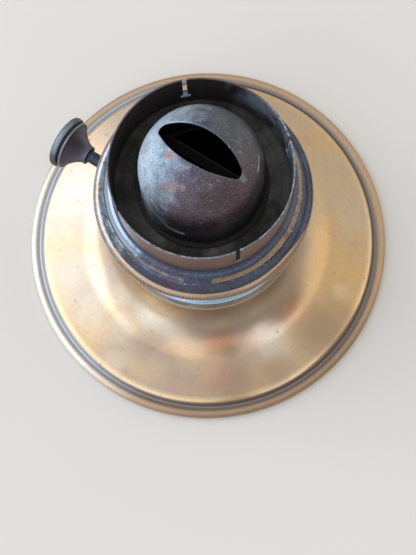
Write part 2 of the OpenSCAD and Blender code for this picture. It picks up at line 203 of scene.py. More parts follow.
def group(name, **inputs):
    """Start a node group with named numbers going in and one mask coming out."""
    tree = bpy.data.node_groups.new(name, "ShaderNodeTree")
    new_socket = tree.interface.new_socket
    for label, value in inputs.items():
        socket = new_socket(name=label, in_out="INPUT", socket_type="NodeSocketFloat")
        socket.default_value = value
    new_socket(name="Mask", in_out="OUTPUT", socket_type="NodeSocketFloat")
    given = tree.nodes.new("NodeGroupInput").outputs
    result = tree.nodes.new("NodeGroupOutput").inputs[0]
    return tree, given, result


def use(tree, name, **inputs):
    """Place a node group, with its own values."""
    node = add(tree, "Group", node_tree=bpy.data.node_groups[name])
    feed(tree, node, **inputs)
    return node.outputs[0]


print("colour and mask helpers: ready")

# %% [markdown]
# ## Light and floor
#
# Metal shows its surroundings, so the light here matters more than the paint. Daylight comes from
# a large soft source at the left. The rest of the room is a sky of soft colours: neutral at the
# right, cool behind and dimmer in front. A studio picture could do it, but a few steps between
# directions are enough and need no file. The floor is a plain pale sheet, which takes the lamp's
# shadow.

# %% Sky
world = bpy.data.worlds.new("soft_studio")
scene.world = world
world.use_nodes = True
sky = world.node_tree
toward = add(sky, "TexCoord").outputs["Generated"]


def along(direction):
    """How far the sky's direction goes along another."""
    inputs = {0: toward, 1: direction}
    return add(sky, "VectorMath", inputs, operation="DOT_PRODUCT").outputs["Value"]


def between(value, low, high, soft):
    """1 between low and high, with soft ends."""
    rise = fade(sky, value, low - soft, low)
    fall = fade(sky, value, high, high + soft, 1.0, 0.0)
    return times(sky, rise, fall)


PANEL_LEAN = 0.22
to_right = along(picture_right)
to_front = along(-picture_back)
to_panel = along(picture_right + PANEL_LEAN * picture_back)

# Each patch: the direction across it, its span that way, its span to the front, soft edge, colour
SKY_BASE = rgb(0.64, 0.72, 0.92)
SKY_PATCHES = [
    (to_right, (0.25, 2), (-2, 0.12), 0.22, rgb(0.82, 0.81, 0.74)),
    (to_right, (0.50, 0.90), (-0.30, 0.25), 0.18, rgb(1.12, 1.10, 1.02)),
    (to_right, (-0.25, 2), (0.32, 2), 0.20, rgb(0.55, 0.54, 0.54)),
    (to_right, (0.45, 2), (0.35, 2), 0.20, rgb(0.40, 0.37, 0.34)),
    (to_right, (-0.20, -0.04), (0.22, 0.80), 0.10, rgb(1.10, 1.06, 1.12)),
    (to_panel, (0.18, 0.36), (0.16, 0.72), 0.09, rgb(1.12, 1.20, 1.50)),
    (to_right, (-2, 2), (0.92, 2), 0.12, rgb(0.33, 0.33, 0.37)),
    (to_right, (-2, -0.31), (-0.40, 0.90), 0.22, rgb(1.24, 1.39, 1.72)),
]
sky_layers = []
for across, span, depth, soft, colour in SKY_PATCHES:
    mask = times(sky, between(across, *span, soft), between(to_front, *depth, soft))
    sky_layers.append((mask, colour))
feed(sky, sky.nodes["Background"], Color=layered(sky, SKY_BASE, sky_layers))
print("sky:", len(SKY_PATCHES), "patches")

# %% Window light and floor
WINDOW_WAY = Vector((-0.66, -0.16, 0.74))
WINDOW_FAR = 1.44
window_data = bpy.data.lights.new("window", "AREA")
window_data.shape = "RECTANGLE"
window_data.size = 1.2
window_data.size_y = 1.04
window_data.energy = 5.0
window_data.color = (0.92, 0.96, 1.0)
window = bpy.data.objects.new("window", window_data)
scene.collection.objects.link(window)
window.location = WINDOW_WAY.normalized() * WINDOW_FAR
window.rotation_euler = WINDOW_WAY.to_track_quat("Z", "Y").to_euler()

FLOOR_HALF = 3.0
corners = [(-FLOOR_HALF, -FLOOR_HALF, 0), (FLOOR_HALF, -FLOOR_HALF, 0),
           (FLOOR_HALF, FLOOR_HALF, 0), (-FLOOR_HALF, FLOOR_HALF, 0)]
floor_mesh = bpy.data.meshes.new("floor")
floor_mesh.from_pydata(corners, [], [(0, 1, 2, 3)])
floor = bpy.data.objects.new("floor", floor_mesh)
scene.collection.objects.link(floor)

paper, tree, shader = finish("pale_paper", Roughness=0.9, Specular_IOR_Level=0.2)
grain = add(tree, "TexNoise", {"Vector": on_piece(tree), "Scale": 3.0, "Detail": 3.0}).outputs[0]
feed(tree, shader, Base_Color=mix(tree, grain, rgb(0.71, 0.66, 0.57), rgb(0.73, 0.68, 0.59)))
floor_mesh.materials.append(paper)
print("light: window of", window_data.energy, "W; floor", 2 * FLOOR_HALF, "m wide")

# %% [markdown]
# ## Shared effects
#
# Old brass is never even. Its tarnish comes in soft clouds, it has small dark spots and pale
# grains of dust, fine scratches from polishing, and edges that are worn unevenly. Each of these is
# a node group that gives a mask from 0 to 1, so that a finish only says how large and how strong
# it is.

# %% Effect groups
def shifted_place(tree, shift):
    """Places on the piece, moved so that two uses of an effect differ."""
    inputs = {0: on_piece(tree), 1: shift}
    return add(tree, "VectorMath", inputs, operation="ADD").outputs["Vector"]


tree, given, result = group("Clouds", Scale=50, Low=0.4, High=0.6, Shift=0)
cloud = add(tree, "TexNoise", {
    "Vector": shifted_place(tree, given["Shift"]), "Scale": given["Scale"],
    "Detail": 6.0, "Roughness": 0.62, "Distortion": 0.4,
}).outputs[0]
put(tree, result, fade(tree, cloud, given["Low"], given["High"]))

tree, given, result = group("Specks", Scale=400, Size=0.3, Share=0.2, Shift=0)
place = shifted_place(tree, given["Shift"])
cells = add(tree, "TexVoronoi", {"Vector": place, "Scale": given["Scale"]}).outputs
draw = add(tree, "SeparateColor", {0: cells["Color"]}).outputs
reach = times(tree, given["Size"], fade(tree, draw[1], 0.0, 1.0, 0.4, 1.0))
outside = fade(tree, cells["Distance"], times(tree, reach, 0.5), reach)
chosen = calc(tree, "LESS_THAN", draw[0], given["Share"])
put(tree, result, times(tree, inverse(tree, outside), chosen))

tree, given, result = group("Scratches", Scale=60, Stretch=12, Turn=0, Width=0.01)
place = add(tree, "VectorRotate", {"Vector": on_piece(tree), "Angle": given["Turn"]},
            rotation_type="Z_AXIS").outputs[0]
split = add(tree, "SeparateXYZ", {0: place}).outputs
long_x = calc(tree, "DIVIDE", split[0], given["Stretch"])
long_place = add(tree, "CombineXYZ", {0: long_x, 1: split[1], 2: split[2]}).outputs[0]
lines = add(tree, "TexNoise", {
    "Vector": long_place, "Scale": given["Scale"], "Detail": 2.0, "Distortion": 0.6,
}).outputs[0]
off_line = calc(tree, "ABSOLUTE", calc(tree, "SUBTRACT", lines, 0.5))
put(tree, result, inverse(tree, fade(tree, off_line, 0.0, given["Width"])))

tree, given, result = group("Worn edge", Wear=0, Scale=600, Breakup=0.5)
grain = add(tree, "TexNoise", {
    "Vector": on_piece(tree), "Scale": given["Scale"], "Detail": 4.0, "Roughness": 0.7,
}).outputs[0]
broken = total(tree, given["Wear"], [(calc(tree, "SUBTRACT", grain, 0.5), given["Breakup"])])
put(tree, result, fade(tree, broken, 0.35, 0.65))


def worn(tree, name, **inputs):
    """A mask that the piece carries, with its edge broken up."""
    return use(tree, "Worn edge", Wear=painted(tree, name), **inputs)


print("effects:", ", ".join(g.name for g in bpy.data.node_groups))

# %% [markdown]
# ## Turned and skinned pieces
#
# Nearly every piece of a lamp is spun or turned, so it is one outline carried round an axis. A
# Screw modifier could do that, but then dents, milling and wear have no points to hold on to. Here
# an outline becomes many columns of points, which one function skins into a closed mesh. Masks for
# dirt and wear, and for painted highlights and shade, are worked out for each point at the same
# time.

# %% Outlines
NEARLY_STRAIGHT = math.radians(150)
SHORTEST = 1e-9
CORNER_SHARE = 0.45


def arc(centre, radius, start, end, steps):
    """Points along a round stretch, with angles in degrees."""
    angles = [math.radians(start + (end - start) * i / steps) for i in range(steps + 1)]
    return [(centre[0] + radius * math.cos(a), centre[1] + radius * math.sin(a)) for a in angles]


def softened(points, radius, steps):
    """Round the corners of a closed outline."""
    result = []
    for i, here in enumerate(points):
        p = Vector(here)
        back = Vector(points[i - 1]) - p
        ahead = Vector(points[(i + 1) % len(points)]) - p
        if back.length < SHORTEST or ahead.length < SHORTEST:
            continue
        if back.angle(ahead) > NEARLY_STRAIGHT:
            result.append(tuple(p))
            continue
        reach = min(radius, CORNER_SHARE * back.length, CORNER_SHARE * ahead.length)
        a = p + back.normalized() * reach
        b = p + ahead.normalized() * reach
        for k in range(steps + 1):
            t = k / steps
            result.append(tuple(a * (1 - t) ** 2 + p * 2 * t * (1 - t) + b * t ** 2))
    return result


def filled(points, step):
    """Add points on the long straight stretches of a closed outline."""
    result = []
    for i, here in enumerate(points):
        p, q = Vector(here), Vector(points[(i + 1) % len(points)])
        count = max(1, math.ceil((q - p).length / step))
        result += [tuple(p.lerp(q, k / count)) for k in range(count)]
    return result


def rounded(points, corner, step, steps=3):
    """A closed outline with round corners and no stretch longer than a step."""
    return filled(softened(points, corner, steps), step)


def outward(points):
    """The direction square to a closed outline at each of its points."""
    result = []
    for i in range(len(points)):
        run = Vector(points[(i + 1) % len(points)]) - Vector(points[i - 1])
        result.append(Vector((run.y, -run.x)).normalized())
    return result


print("outlines: ready")


# %% Skins
def dress(name, verts, faces, masks, sharp=50):
    """Make a mesh object, face its skin outward, and paint its masks."""
    mesh = bpy.data.meshes.new(name)
    mesh.from_pydata(verts, [], faces)
    work = bmesh.new()
    work.from_mesh(mesh)
    bmesh.ops.recalc_face_normals(work, faces=work.faces)
    work.to_mesh(mesh)
    work.free()
    mesh.shade_smooth()
    mesh.set_sharp_from_angle(angle=math.radians(sharp))
    for label, mask in masks.items():
        layer = mesh.attributes.new(label, "FLOAT", "POINT")
        layer.data.foreach_set("value", [mask(v.co) for v in mesh.vertices])
    piece = bpy.data.objects.new(name, mesh)
    scene.collection.objects.link(piece)
    return piece


def flat_list(columns):
    return [p for column in columns for p in column]


def faces_round(count, rows, first=0, closed=True):
    """Faces between columns that go all the way round. Closed columns end where they start."""
    faces = []
    for i in range(count):
        a, b = first + i * rows, first + (i + 1) % count * rows
        for k in range(rows if closed else rows - 1):
            m = (k + 1) % rows
            faces.append((a + k, b + k, b + m, a + m))
    return faces


def skin(name, columns, masks, sharp=50):
    faces = faces_round(len(columns), len(columns[0]))
    return dress(name, flat_list(columns), faces, masks, sharp)


def upright(radius, height, angle):
    """A point of an outline turned about the lamp's axis."""
    return Vector((radius * math.cos(angle), radius * math.sin(angle), height))


def turned_columns(outline, count, carry=upright, relief=None):
    """Carry an outline round its axis. A relief moves each point out, square to the outline."""
    across = outward(outline)
    columns = []
    for i in range(count):
        angle = 2 * math.pi * i / count
        column = []
        for (r, z), n in zip(outline, across):
            rise = relief(r, z, angle) if relief else 0
            column.append(carry(r + n.x * rise, z + n.y * rise, angle))
        columns.append(column)
    return columns


def place_piece(piece, body, slot, finishes, *replaced):
    """Give a piece its body, its finishes and the solids it stands for. Its slot is not used."""
    for material in finishes:
        piece.data.materials.append(material)
    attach(piece, body)
    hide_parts(*replaced)
    print(piece.name + ":", len(piece.data.vertices), "points")


def second_finish(mesh, test):
    """Give the second finish to the faces that pass a test."""
    for face in mesh.polygons:
        if test(face):
            face.material_index = 1


print("skins: ready")


# %% Places and masks
def from_axis(point):
    return math.hypot(point.x, point.y)


def level_angle(point):
    """The angle about the lamp's axis, in degrees from the picture's right, up to 180."""
    return math.degrees(math.atan2(point.dot(picture_back), point.dot(picture_right)))


def limited(x, most=1.0):
    return min(most, max(0.0, x))


def hump(x, low, high, soft):
    """1 between low and high, with soft ends."""
    return min(limited((x - low + soft) / soft), limited((high + soft - x) / soft))


MEASURES = {
    "r": from_axis, "z": lambda p: p.z, "side": level_angle, "turn": lambda p: level_angle(p) % 360,
}


def patch(point, strength=1.0, **spans):
    """A mask of that strength within some spans: r from the axis, z for the height, and side or
    turn for the angle from -180 or from 0. A span is its low end, high end and softness."""
    for measure, span in spans.items():
        strength *= hump(MEASURES[measure](point), *span)
    return strength


def uneven(point, waves):
    """Add up waves of noise, each with its strength and how many there are in a metre."""
    return sum(strength * noise.noise(point * fineness) for strength, fineness in waves)


BLOTCH_WAVES = [(0.45, 90), (0.2, 260)]


def blotched(point, blotches):
    """The strongest of some soft blotches, with uneven outlines. A blotch is its place seen from
    above in mm, its reach in mm and its strength."""
    wide = 1 + uneven(point, BLOTCH_WAVES)
    mask = 0.0
    for x, y, reach, strength in blotches:
        off = math.hypot(point.x / MM - x, point.y / MM - y) / (reach * wide)
        mask = max(mask, strength * math.exp(-off ** 3))
    return mask


print("places and masks: ready")

# %% [markdown]
# ## Brass of the font
#
# The font is polished brass that has been handled for years: warm gold with paler clouds, a trace
# of copper pink, small dark spots, stains, and dirt packed in the groove. Some patches are painted
# light: pale reflections and highlights on the broad top, the shoulder and the left, and painted
# shade in the cove and at the front. The colour could be one gold, but then the broad top looks
# like new foil. The roughness varies with the clouds, so that the reflections break up softly.

# %% Font brass
GOLD = rgb(0.67, 0.43, 0.20)
PALE_GOLD = rgb(0.60, 0.44, 0.29)
PINK_GOLD = rgb(0.66, 0.40, 0.26)
HAZE = rgb(0.36, 0.27, 0.18)
SMUDGE = rgb(0.40, 0.29, 0.19)
SPOT = rgb(0.17, 0.13, 0.09)
RUBBED = rgb(0.55, 0.37, 0.22)
# A painted highlight on the rim at the left
RIM_HIGHLIGHT = rgb(0.86, 0.78, 0.64)
# Painted shade in the cove under the collar
COVE_SHADE = rgb(0.46, 0.375, 0.29)
# Partly tarnish, partly painted shade
BROWN = rgb(0.37, 0.25, 0.155)
COPPER = rgb(0.82, 0.41, 0.23)
# A painted highlight on the shoulder and in a few patches
GOLD_HIGHLIGHT = rgb(0.88, 0.63, 0.34)
# Painted pale reflections
CREAM = rgb(0.80, 0.67, 0.47)
# The gold painted paler and greyer where the window's light washes it out, most at the left
WASHED_OUT = rgb(0.545, 0.452, 0.362)
DIRT = rgb(0.205, 0.175, 0.155)
# A painted highlight in the groove at the left
GROOVE_HIGHLIGHT = rgb(0.42, 0.44, 0.44)


def brass_finish(name, gold, pale, dirt, roughness):
    """Aged brass, with tarnish, painted highlights and painted shade where the piece carries them.
    """
    material, tree, shader = finish(name, Metallic=1.0)
    pink = use(tree, "Clouds", Scale=38, Low=0.5, High=0.72, Shift=3.1)
    haze = use(tree, "Clouds", Scale=90, Low=0.35, High=0.75, Shift=1.7)
    smudge = use(tree, "Clouds", Scale=48, Low=0.52, High=0.76, Shift=8.3)
    mottle = use(tree, "Clouds", Scale=750, Low=0.35, High=0.7, Shift=4.4)
    large = use(tree, "Specks", Scale=210, Size=0.20, Share=0.5)
    small = use(tree, "Specks", Scale=420, Size=0.2, Share=0.2, Shift=2.3)
    spots = calc(tree, "MAXIMUM", times(tree, large, 0.28), times(tree, small, 0.3))
    colour = layered(tree, gold, [
        (use(tree, "Clouds", Scale=22, Low=0.36, High=0.66), pale),
        (times(tree, pink, 0.5), PINK_GOLD),
        (times(tree, haze, 0.20), HAZE),
        (times(tree, smudge, 0.32), SMUDGE),
        # The cream blotches are painted reflections; the washed-out and bright gold ones painted
        # highlights
        ("copper", COPPER), ("washed_out", WASHED_OUT), ("cream", CREAM), ("gold_highlight", GOLD_HIGHLIGHT),
        (spots, SPOT),
        # The rim is painted pale at the left: a painted highlight
        ("rubbed_and_highlight", mix(tree, painted(tree, "bright"), RUBBED, RIM_HIGHLIGHT)),
        # The dull cove is painted shade, and the brown partly so
        ("dull_shade", COVE_SHADE), ("brown", BROWN),
        (times(tree, mottle, 0.16), HAZE),
        # The groove is painted pale at the left: a painted highlight
        ("dirt", mix(tree, painted(tree, "pale"), dirt, GROOVE_HIGHLIGHT)),
    ])
    matt = calc(tree, "MAXIMUM", painted(tree, "rubbed_and_highlight"), painted(tree, "dirt"))
    dull_shade = painted(tree, "dull_shade")
    rough = total(tree, roughness, [(haze, 0.07), (spots, 0.2), (matt, 0.28), (dull_shade, 0.24)])
    scratch = use(tree, "Scratches", Scale=160, Stretch=16, Turn=0.6, Width=0.010)
    feed(tree, shader, Base_Color=colour, Roughness=rough,
         Normal=bump(tree, scratch, 0.003 * MM, 0.4))
    return material


font_brass = brass_finish("font_brass", GOLD, PALE_GOLD, DIRT, 0.20)
burner_brass = brass_finish(
    "burner_brass", rgb(0.52, 0.33, 0.15), rgb(0.42, 0.29, 0.16), rgb(0.10, 0.08, 0.075), 0.32,
)
print("brass:", font_brass.name, burner_brass.name)

# %% [markdown]
# ## Font
#
# The font is one sheet, spun into a rim bead, a groove, a shoulder, a broad top that slopes a
# little, and a cove that runs up into the neck. Its outline uses the same radii as the solid.
# Sheet brass is never true, so the points move in and out by a few hundredths of a millimetre.
# That bends the reflections on the broad top as on the real one.

# %% Font outline
font_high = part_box("font_shell")[1]
font_r, neck_h = font_high[0], font_high[2]
FONT_WALL = 0.9 * MM
RIM_R = 1.9 * MM
FOOT_W = 2.2 * MM
GROOVE_H = 2.5 * MM
GROOVE_W = 0.5 * MM
SHOULDER_R = 2.2 * MM
SHOULDER_RISE = 0.5 * MM
TOP_SLOPE = 6
COVE_R = 17 * MM
NECK_R = 29.2 * MM
LIP_R = 25.7 * MM
BOTTOM_EDGE = 1.6 * MM
BEAD_LEAVES = 118
BEAD_RUN = 1.5 * MM
SHOULDER_MEETS = 48
SHOULDER_RUN = 1.0 * MM

slope = math.radians(TOP_SLOPE)
rim_c = (font_r - RIM_R, RIM_R)
foot_in = rim_c[0] - FOOT_W
bead_end = math.pi - math.asin((GROOVE_H - RIM_R) / RIM_R)
groove_out = rim_c[0] + RIM_R * math.cos(bead_end)
shoulder_c = (groove_out - GROOVE_W - SHOULDER_R, GROOVE_H + SHOULDER_RISE)
shoulder_p = (shoulder_c[0] + SHOULDER_R * math.sin(slope),
              shoulder_c[1] + SHOULDER_R * math.cos(slope))
cove_x = NECK_R + COVE_R
cove_rise = (COVE_R - (cove_x - shoulder_p[0]) * math.sin(slope)) / math.cos(slope)
cove_c = (cove_x, shoulder_p[1] + cove_rise)


def run(start, end, length):
    """A step of that length along the way between two points."""
    return Vector((end[0] - start[0], end[1] - start[1])).normalized() * length


def joined(start, start_run, end, end_run, steps):
    """A smooth bend between two points, leaving and arriving along the given runs."""
    a, d = Vector(start), Vector(end)
    b, c = a + start_run, d - end_run
    bend = []
    for k in range(1, steps):
        t = k / steps
        s = 1 - t
        bend.append(tuple(a * s ** 3 + 3 * b * t * s ** 2 + 3 * c * t * t * s + d * t ** 3))
    return bend


rim_arc = arc(rim_c, RIM_R, -90, BEAD_LEAVES, 22)
shoulder_arc = arc(shoulder_c, SHOULDER_R, SHOULDER_MEETS, 90 - TOP_SLOPE, 12)
font_outline = rounded(
    [(foot_in, 0)]
    + rim_arc
    + joined(rim_arc[-1], run(*rim_arc[-2:], BEAD_RUN),
             shoulder_arc[0], run(*shoulder_arc[:2], SHOULDER_RUN), 14)
    + shoulder_arc
    + arc(cove_c, COVE_R, 270 - TOP_SLOPE, 180, 40)
    + [(NECK_R, neck_h), (LIP_R, neck_h), (LIP_R, neck_h - FONT_WALL),
       (NECK_R - FONT_WALL, neck_h - FONT_WALL)]
    + arc(cove_c, COVE_R + FONT_WALL, 180, 270 - TOP_SLOPE, 24)
    + arc(shoulder_c, SHOULDER_R - FONT_WALL, 90 - TOP_SLOPE, 0, 8)
    + [(shoulder_c[0] + SHOULDER_R - FONT_WALL, BOTTOM_EDGE), (foot_in, BOTTOM_EDGE)],
    corner=0.25 * MM, step=1.2 * MM, steps=4,
)
print("font outline:", len(font_outline), "points")

# %% Font tarnish and painted light
# Soft blotches on the top: the copper ones are tarnish, the cream ones painted reflections, the
# bright gold ones painted highlights, the washed-out ones gold painted pale where the window's
# light falls, and the brown ones partly tarnish and partly painted shade
BLOTCHES = {
    "copper": [
        (21.3, -30.3, 3.6, 0.6), (24.6, -28.6, 4.2, 0.8), (28.6, -38, 5.2, 0.75),
        (39.5, -6.5, 5.5, 0.5), (33, -24, 4.5, 0.3),
    ],
    "cream": [
        (38.3, -19.9, 7.2, 0.9), (-1, -33, 7, 0.9), (50, 8, 3, 0.4), (-47, -6, 7, 0.35),
        (-9, -43, 7, 0.5), (-17, -44, 7, 0.4), (-14, -34, 6, 0.4), (-4, -55, 5, 0.4),
    ],
    "gold_highlight": [(15.5, -38, 6.5, 0.6), (25, -38.5, 4, 0.3), (5.5, -49.5, 6, 0.5)],
    "washed_out": [
        (-46, -12, 18, 0.95), (-38, 16, 14, 0.95), (-30, -36, 12, 0.7), (40, 36, 10, 0.5),
        (26, 45, 8, 0.4),
    ],
    "brown": [
        (3, -43, 6.5, 0.5), (36, -39, 8, 0.5), (46, -27, 6, 0.45), (52, -6, 10, 0.75),
        (14, -30, 4, 0.4), (28.5, -30.5, 3, 0.5),
    ],
}
CLEAR_BLOTCHES = BLOTCHES["cream"] + BLOTCHES["copper"]
DIRT_LOW, DIRT_TOP = 1.5 * MM, 4.9 * MM


def font_dirt(point):
    """Tarnish packed in the groove, which thins out over the rim."""
    if not DIRT_LOW <= point.z <= DIRT_TOP:
        return 0
    outer = patch(point, r=(0, groove_out + 0.45 * MM, 1.6 * MM))
    return patch(point, 0.92 * outer ** 1.5, r=(shoulder_c[0] + 1.7 * MM, font_r, 0.8 * MM))


def font_cove_shade(point):
    """Painted shade: a dull brown-grey on the cove under the collar, less under the cream and
    copper blotches and at the left.
    """
    left = patch(point, 0.5, turn=(196, 244, 20))
    strength = (0.9 - 0.8 * blotched(point, CLEAR_BLOTCHES)) * (1 - left)
    return patch(point, strength, z=(11.5 * MM, neck_h + MM, 4 * MM))


def font_rim(point):
    """The rubbed copper of the rim, which takes a painted highlight at the left."""
    return patch(point, r=(groove_out + 0.7 * MM, font_r + MM, 0.9 * MM))


def font_gold_highlight(point):
    """A painted highlight where the shoulder's edge catches the light, most in front, and in a
    few places near it.
    """
    strength = (0.15 + patch(point, 0.6, side=(-140, -45, 50))) * (point.z > GROOVE_H)
    shoulder = (shoulder_p[0] - 0.6 * MM, shoulder_p[0] + 1.2 * MM, 0.5 * MM)
    return max(patch(point, strength, r=shoulder), blotched(point, BLOTCHES["gold_highlight"]))


def font_brown(point):
    """Browner on the front of the rim and in blotches on the top: partly tarnish, partly painted
    shade.
    """
    front = patch(point, 0.75 * font_rim(point), side=(-98, -38, 26))
    return max(front, blotched(point, BLOTCHES["brown"]))


# The left of the groove and of the rim is painted palest: a painted highlight where the window's
# light falls
font_masks = {
    "dirt": font_dirt, "dull_shade": font_cove_shade, "rubbed_and_highlight": font_rim, "brown": font_brown,
    "gold_highlight": font_gold_highlight,
    "pale": lambda p: patch(p, turn=(118, 226, 24)),
    "bright": lambda p: patch(p, turn=(163, 222, 26)),
    "copper": lambda p: blotched(p, BLOTCHES["copper"]),
    "cream": lambda p: blotched(p, BLOTCHES["cream"]),
    "washed_out": lambda p: blotched(p, BLOTCHES["washed_out"]),
}
print("font tarnish:", ", ".join(font_masks))

# %% Font shell
SHEET_WAVES = [(0.08 * MM, 40), (0.028 * MM, 110)]
SHEET_TRUE = 3 * MM
SHEET_FADE = 2 * MM


def sheet_wave(r, z, angle):
    """Slow unevenness of spun sheet, gone at the foot so that the font stands true."""
    return uneven(upright(r, z, angle), SHEET_WAVES) * limited((z - SHEET_TRUE) / SHEET_FADE)


font_columns = turned_columns(font_outline, count=320, relief=sheet_wave)
font_shell = skin("font_sheet", font_columns, font_masks)
place_piece(font_shell, "font", "font_brass", [font_brass], "font_shell")

# %% [markdown]
# ## Collar
#
# The collar is a heavier ring with an inner thread, soldered on the neck. It shows as a thin lower
# bead and a fat upper round, which catches the light just under the gallery. It is turned from one
# outline too, with its sleeve reaching into the neck.

# %% Collar
collar_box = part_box("font_collar")
collar_low, collar_top, collar_r = collar_box[0][2], collar_box[1][2], collar_box[1][0]
BORE_R = 25 * MM
SLEEVE_R = 25.6 * MM
BEAD_R = 1 * MM
BEAD_ENDS = 88
ROUND_R = 1.7 * MM
ROUND_IN = 1.2 * MM
ROUND_STARTS = -58
bead_c = (collar_r - BEAD_R, neck_h + BEAD_R)
round_c = (collar_r - ROUND_IN - ROUND_R, collar_top - ROUND_R)
collar_outline = rounded(
    [(BORE_R, collar_low), (SLEEVE_R, collar_low), (SLEEVE_R, neck_h)]
    + arc(bead_c, BEAD_R, -90, BEAD_ENDS, 16)
    + arc(round_c, ROUND_R, ROUND_STARTS, 90, 22)
    + [(BORE_R, collar_top)],
    corner=0.12 * MM, step=1.2 * MM, steps=4,
)


def collar_sky_sheen(point):
    """A painted reflection of the sky: silvery blue on the fat round, strongest at the front."""
    front = max(0.25, patch(point, side=(-135, -40, 30)))
    return patch(point, front, z=(neck_h + 2.6 * MM, collar_top - 0.3 * MM, 0.5 * MM))


def collar_tan(point):
    """Rubbed tan brass on the lower bead."""
    return patch(point, z=(neck_h + 0.3 * MM, neck_h + 1.5 * MM, 0.4 * MM))


collar_patina, tree, shader = finish("collar_patina", Metallic=1.0)
stain = use(tree, "Clouds", Scale=140, Low=0.35, High=0.65)
colour = layered(tree, rgb(0.17, 0.13, 0.10), [
    (stain, rgb(0.26, 0.21, 0.16)),
    ("tan", rgb(0.52, 0.42, 0.31)),
    # The silvery blue on the fat round is a painted reflection of the sky
    (worn(tree, "sky_sheen", Scale=350, Breakup=0.45), rgb(0.46, 0.66, 0.82)),
])
feed(tree, shader, Base_Color=colour, Roughness=fade(tree, stain, 0.0, 1.0, 0.22, 0.32))

collar_columns = turned_columns(collar_outline, count=256)
collar = skin("collar_ring", collar_columns, {"sky_sheen": collar_sky_sheen, "tan": collar_tan})
place_piece(collar, "font", "font_brass", [collar_patina], "font_collar")

# %% [markdown]
# ## Dark bronze of the gallery
#
# Heat and oil have turned the gallery's flange, dome and thumb wheel to a dark bronze with a blue
# and purple sheen. Brass shows through where hands or the chimney rub it. On the side that the
# window lights, pale blue-grey highlights are painted into the colour. The dark skin is thin, so it
# still reflects like metal. That is why it stays metallic here, with a low colour, and isn't a
# paint.

# %% Dark bronze
HIGHLIGHT_BLUE = rgb(0.40, 0.49, 0.55)
GRAINS = rgb(0.62, 0.66, 0.66)


def bronze_finish(name, dark, blue, warm, roughness, bare_and_highlight=None, grains=0.35):
    """Dark oxidised metal, with bare brass, painted highlights and pale grains where the piece
    carries them.
    """
    material, tree, shader = finish(name, Metallic=1.0)
    fine = use(tree, "Clouds", Scale=900, Low=0.35, High=0.7, Shift=5.0)
    rough = total(tree, roughness, [(fine, 0.15)])
    colour = layered(tree, dark, [
        (use(tree, "Clouds", Scale=70, Low=0.36, High=0.64), blue),
        (use(tree, "Clouds", Scale=120, Low=0.5, High=0.75, Shift=2.2), warm),
        (times(tree, fine, 0.175), BLACK),
    ])
    if bare_and_highlight:
        # Bare brass, and painted highlights on the flange's strip and the wheel's rim
        rubbed_and_highlight = worn(tree, "bare_and_highlight", Scale=700, Breakup=0.5)
        colour = mix(tree, rubbed_and_highlight, colour, bare_and_highlight)
        rough = total(tree, rough, [(rubbed_and_highlight, -0.08)])
    # A pale painted highlight, on the flange at the left
    bloom_and_highlight = worn(tree, "bloom_and_highlight", Scale=420, Breakup=0.9)
    dust = use(tree, "Specks", Scale=2400, Size=0.42, Share=0.5, Shift=4.0)
    dust = times(tree, dust, times(tree, painted(tree, "dust"), grains))
    colour = layered(tree, colour, [(times(tree, bloom_and_highlight, 0.8), HIGHLIGHT_BLUE), (dust, GRAINS)])
    scratch = use(tree, "Scratches", Scale=330, Stretch=10, Turn=0.9, Width=0.015)
    relief = total(tree, fine, [(scratch, -0.4)])
    feed(tree, shader, Base_Color=colour, Roughness=rough, Metallic=inverse(tree, dust),
         Normal=bump(tree, relief, 0.02 * MM, 0.6))
    return material


flange_bronze = bronze_finish(
    "flange_bronze", rgb(0.085, 0.085, 0.115), rgb(0.105, 0.125, 0.17), rgb(0.12, 0.085, 0.09),
    0.27, bare_and_highlight=rgb(0.47, 0.325, 0.20), grains=0.8,
)
# The wheel's pale blue-grey rim is a painted reflection
wheel_bronze = bronze_finish(
    "wheel_bronze", rgb(0.14, 0.13, 0.165), rgb(0.16, 0.16, 0.20), rgb(0.15, 0.12, 0.145),
    0.42, bare_and_highlight=rgb(0.215, 0.235, 0.245), grains=0.15,
)
print("bronze:", flange_bronze.name, wheel_bronze.name)

# %% [markdown]
# ## Gallery flange
#
# The flange is a spun skirt that hides the top of the air basket. From the top down it has a bead,
# a narrow strip, a groove, a sloping skirt, and a turned-over edge milled with fine slanted teeth
# for a grip. The skirt is one turned outline. The milled band needs far more columns than the
# rest, so it is a second closed ring in the same mesh.

# %% Flange outline
floor_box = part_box("gallery_floor")
basket_top, floor_top, floor_r = floor_box[0][2], floor_box[1][2], floor_box[1][0]
flange_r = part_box("gallery_flange")[1][0]
GALLERY_WALL = 0.6 * MM
FLANGE_IN = 25.9 * MM
EDGE_R = 1.6 * MM
EDGE_DROP = 9.2 * MM
EDGE_MEETS = 95
EDGE_ENDS = -160
STRIP_OUT = 2.4 * MM
STRIP_H = 1.2 * MM
STRIP_GROOVE = 0.5 * MM
TOP_BEAD_R = 2.1 * MM
BEAD_LEDGE = 0.5 * MM
BEAD_TURN = 58

edge_c = (flange_r - EDGE_R, basket_top - EDGE_DROP)
strip_r = floor_r + STRIP_OUT
top_bead_c = (strip_r - BEAD_LEDGE - TOP_BEAD_R, basket_top - TOP_BEAD_R)
strip_top = top_bead_c[1]
strip_foot = strip_top - STRIP_H
slope_top = strip_foot - 2 * STRIP_GROOVE
slope_in = strip_r - GALLERY_WALL - STRIP_GROOVE
strip_start = (strip_r - 1.35 * MM, strip_top + 1.5 * MM)
slope_start = (strip_r + 0.4 * MM, slope_top - 0.4 * MM)
inner_bead = arc(top_bead_c, TOP_BEAD_R - GALLERY_WALL, 0, 90, 10)

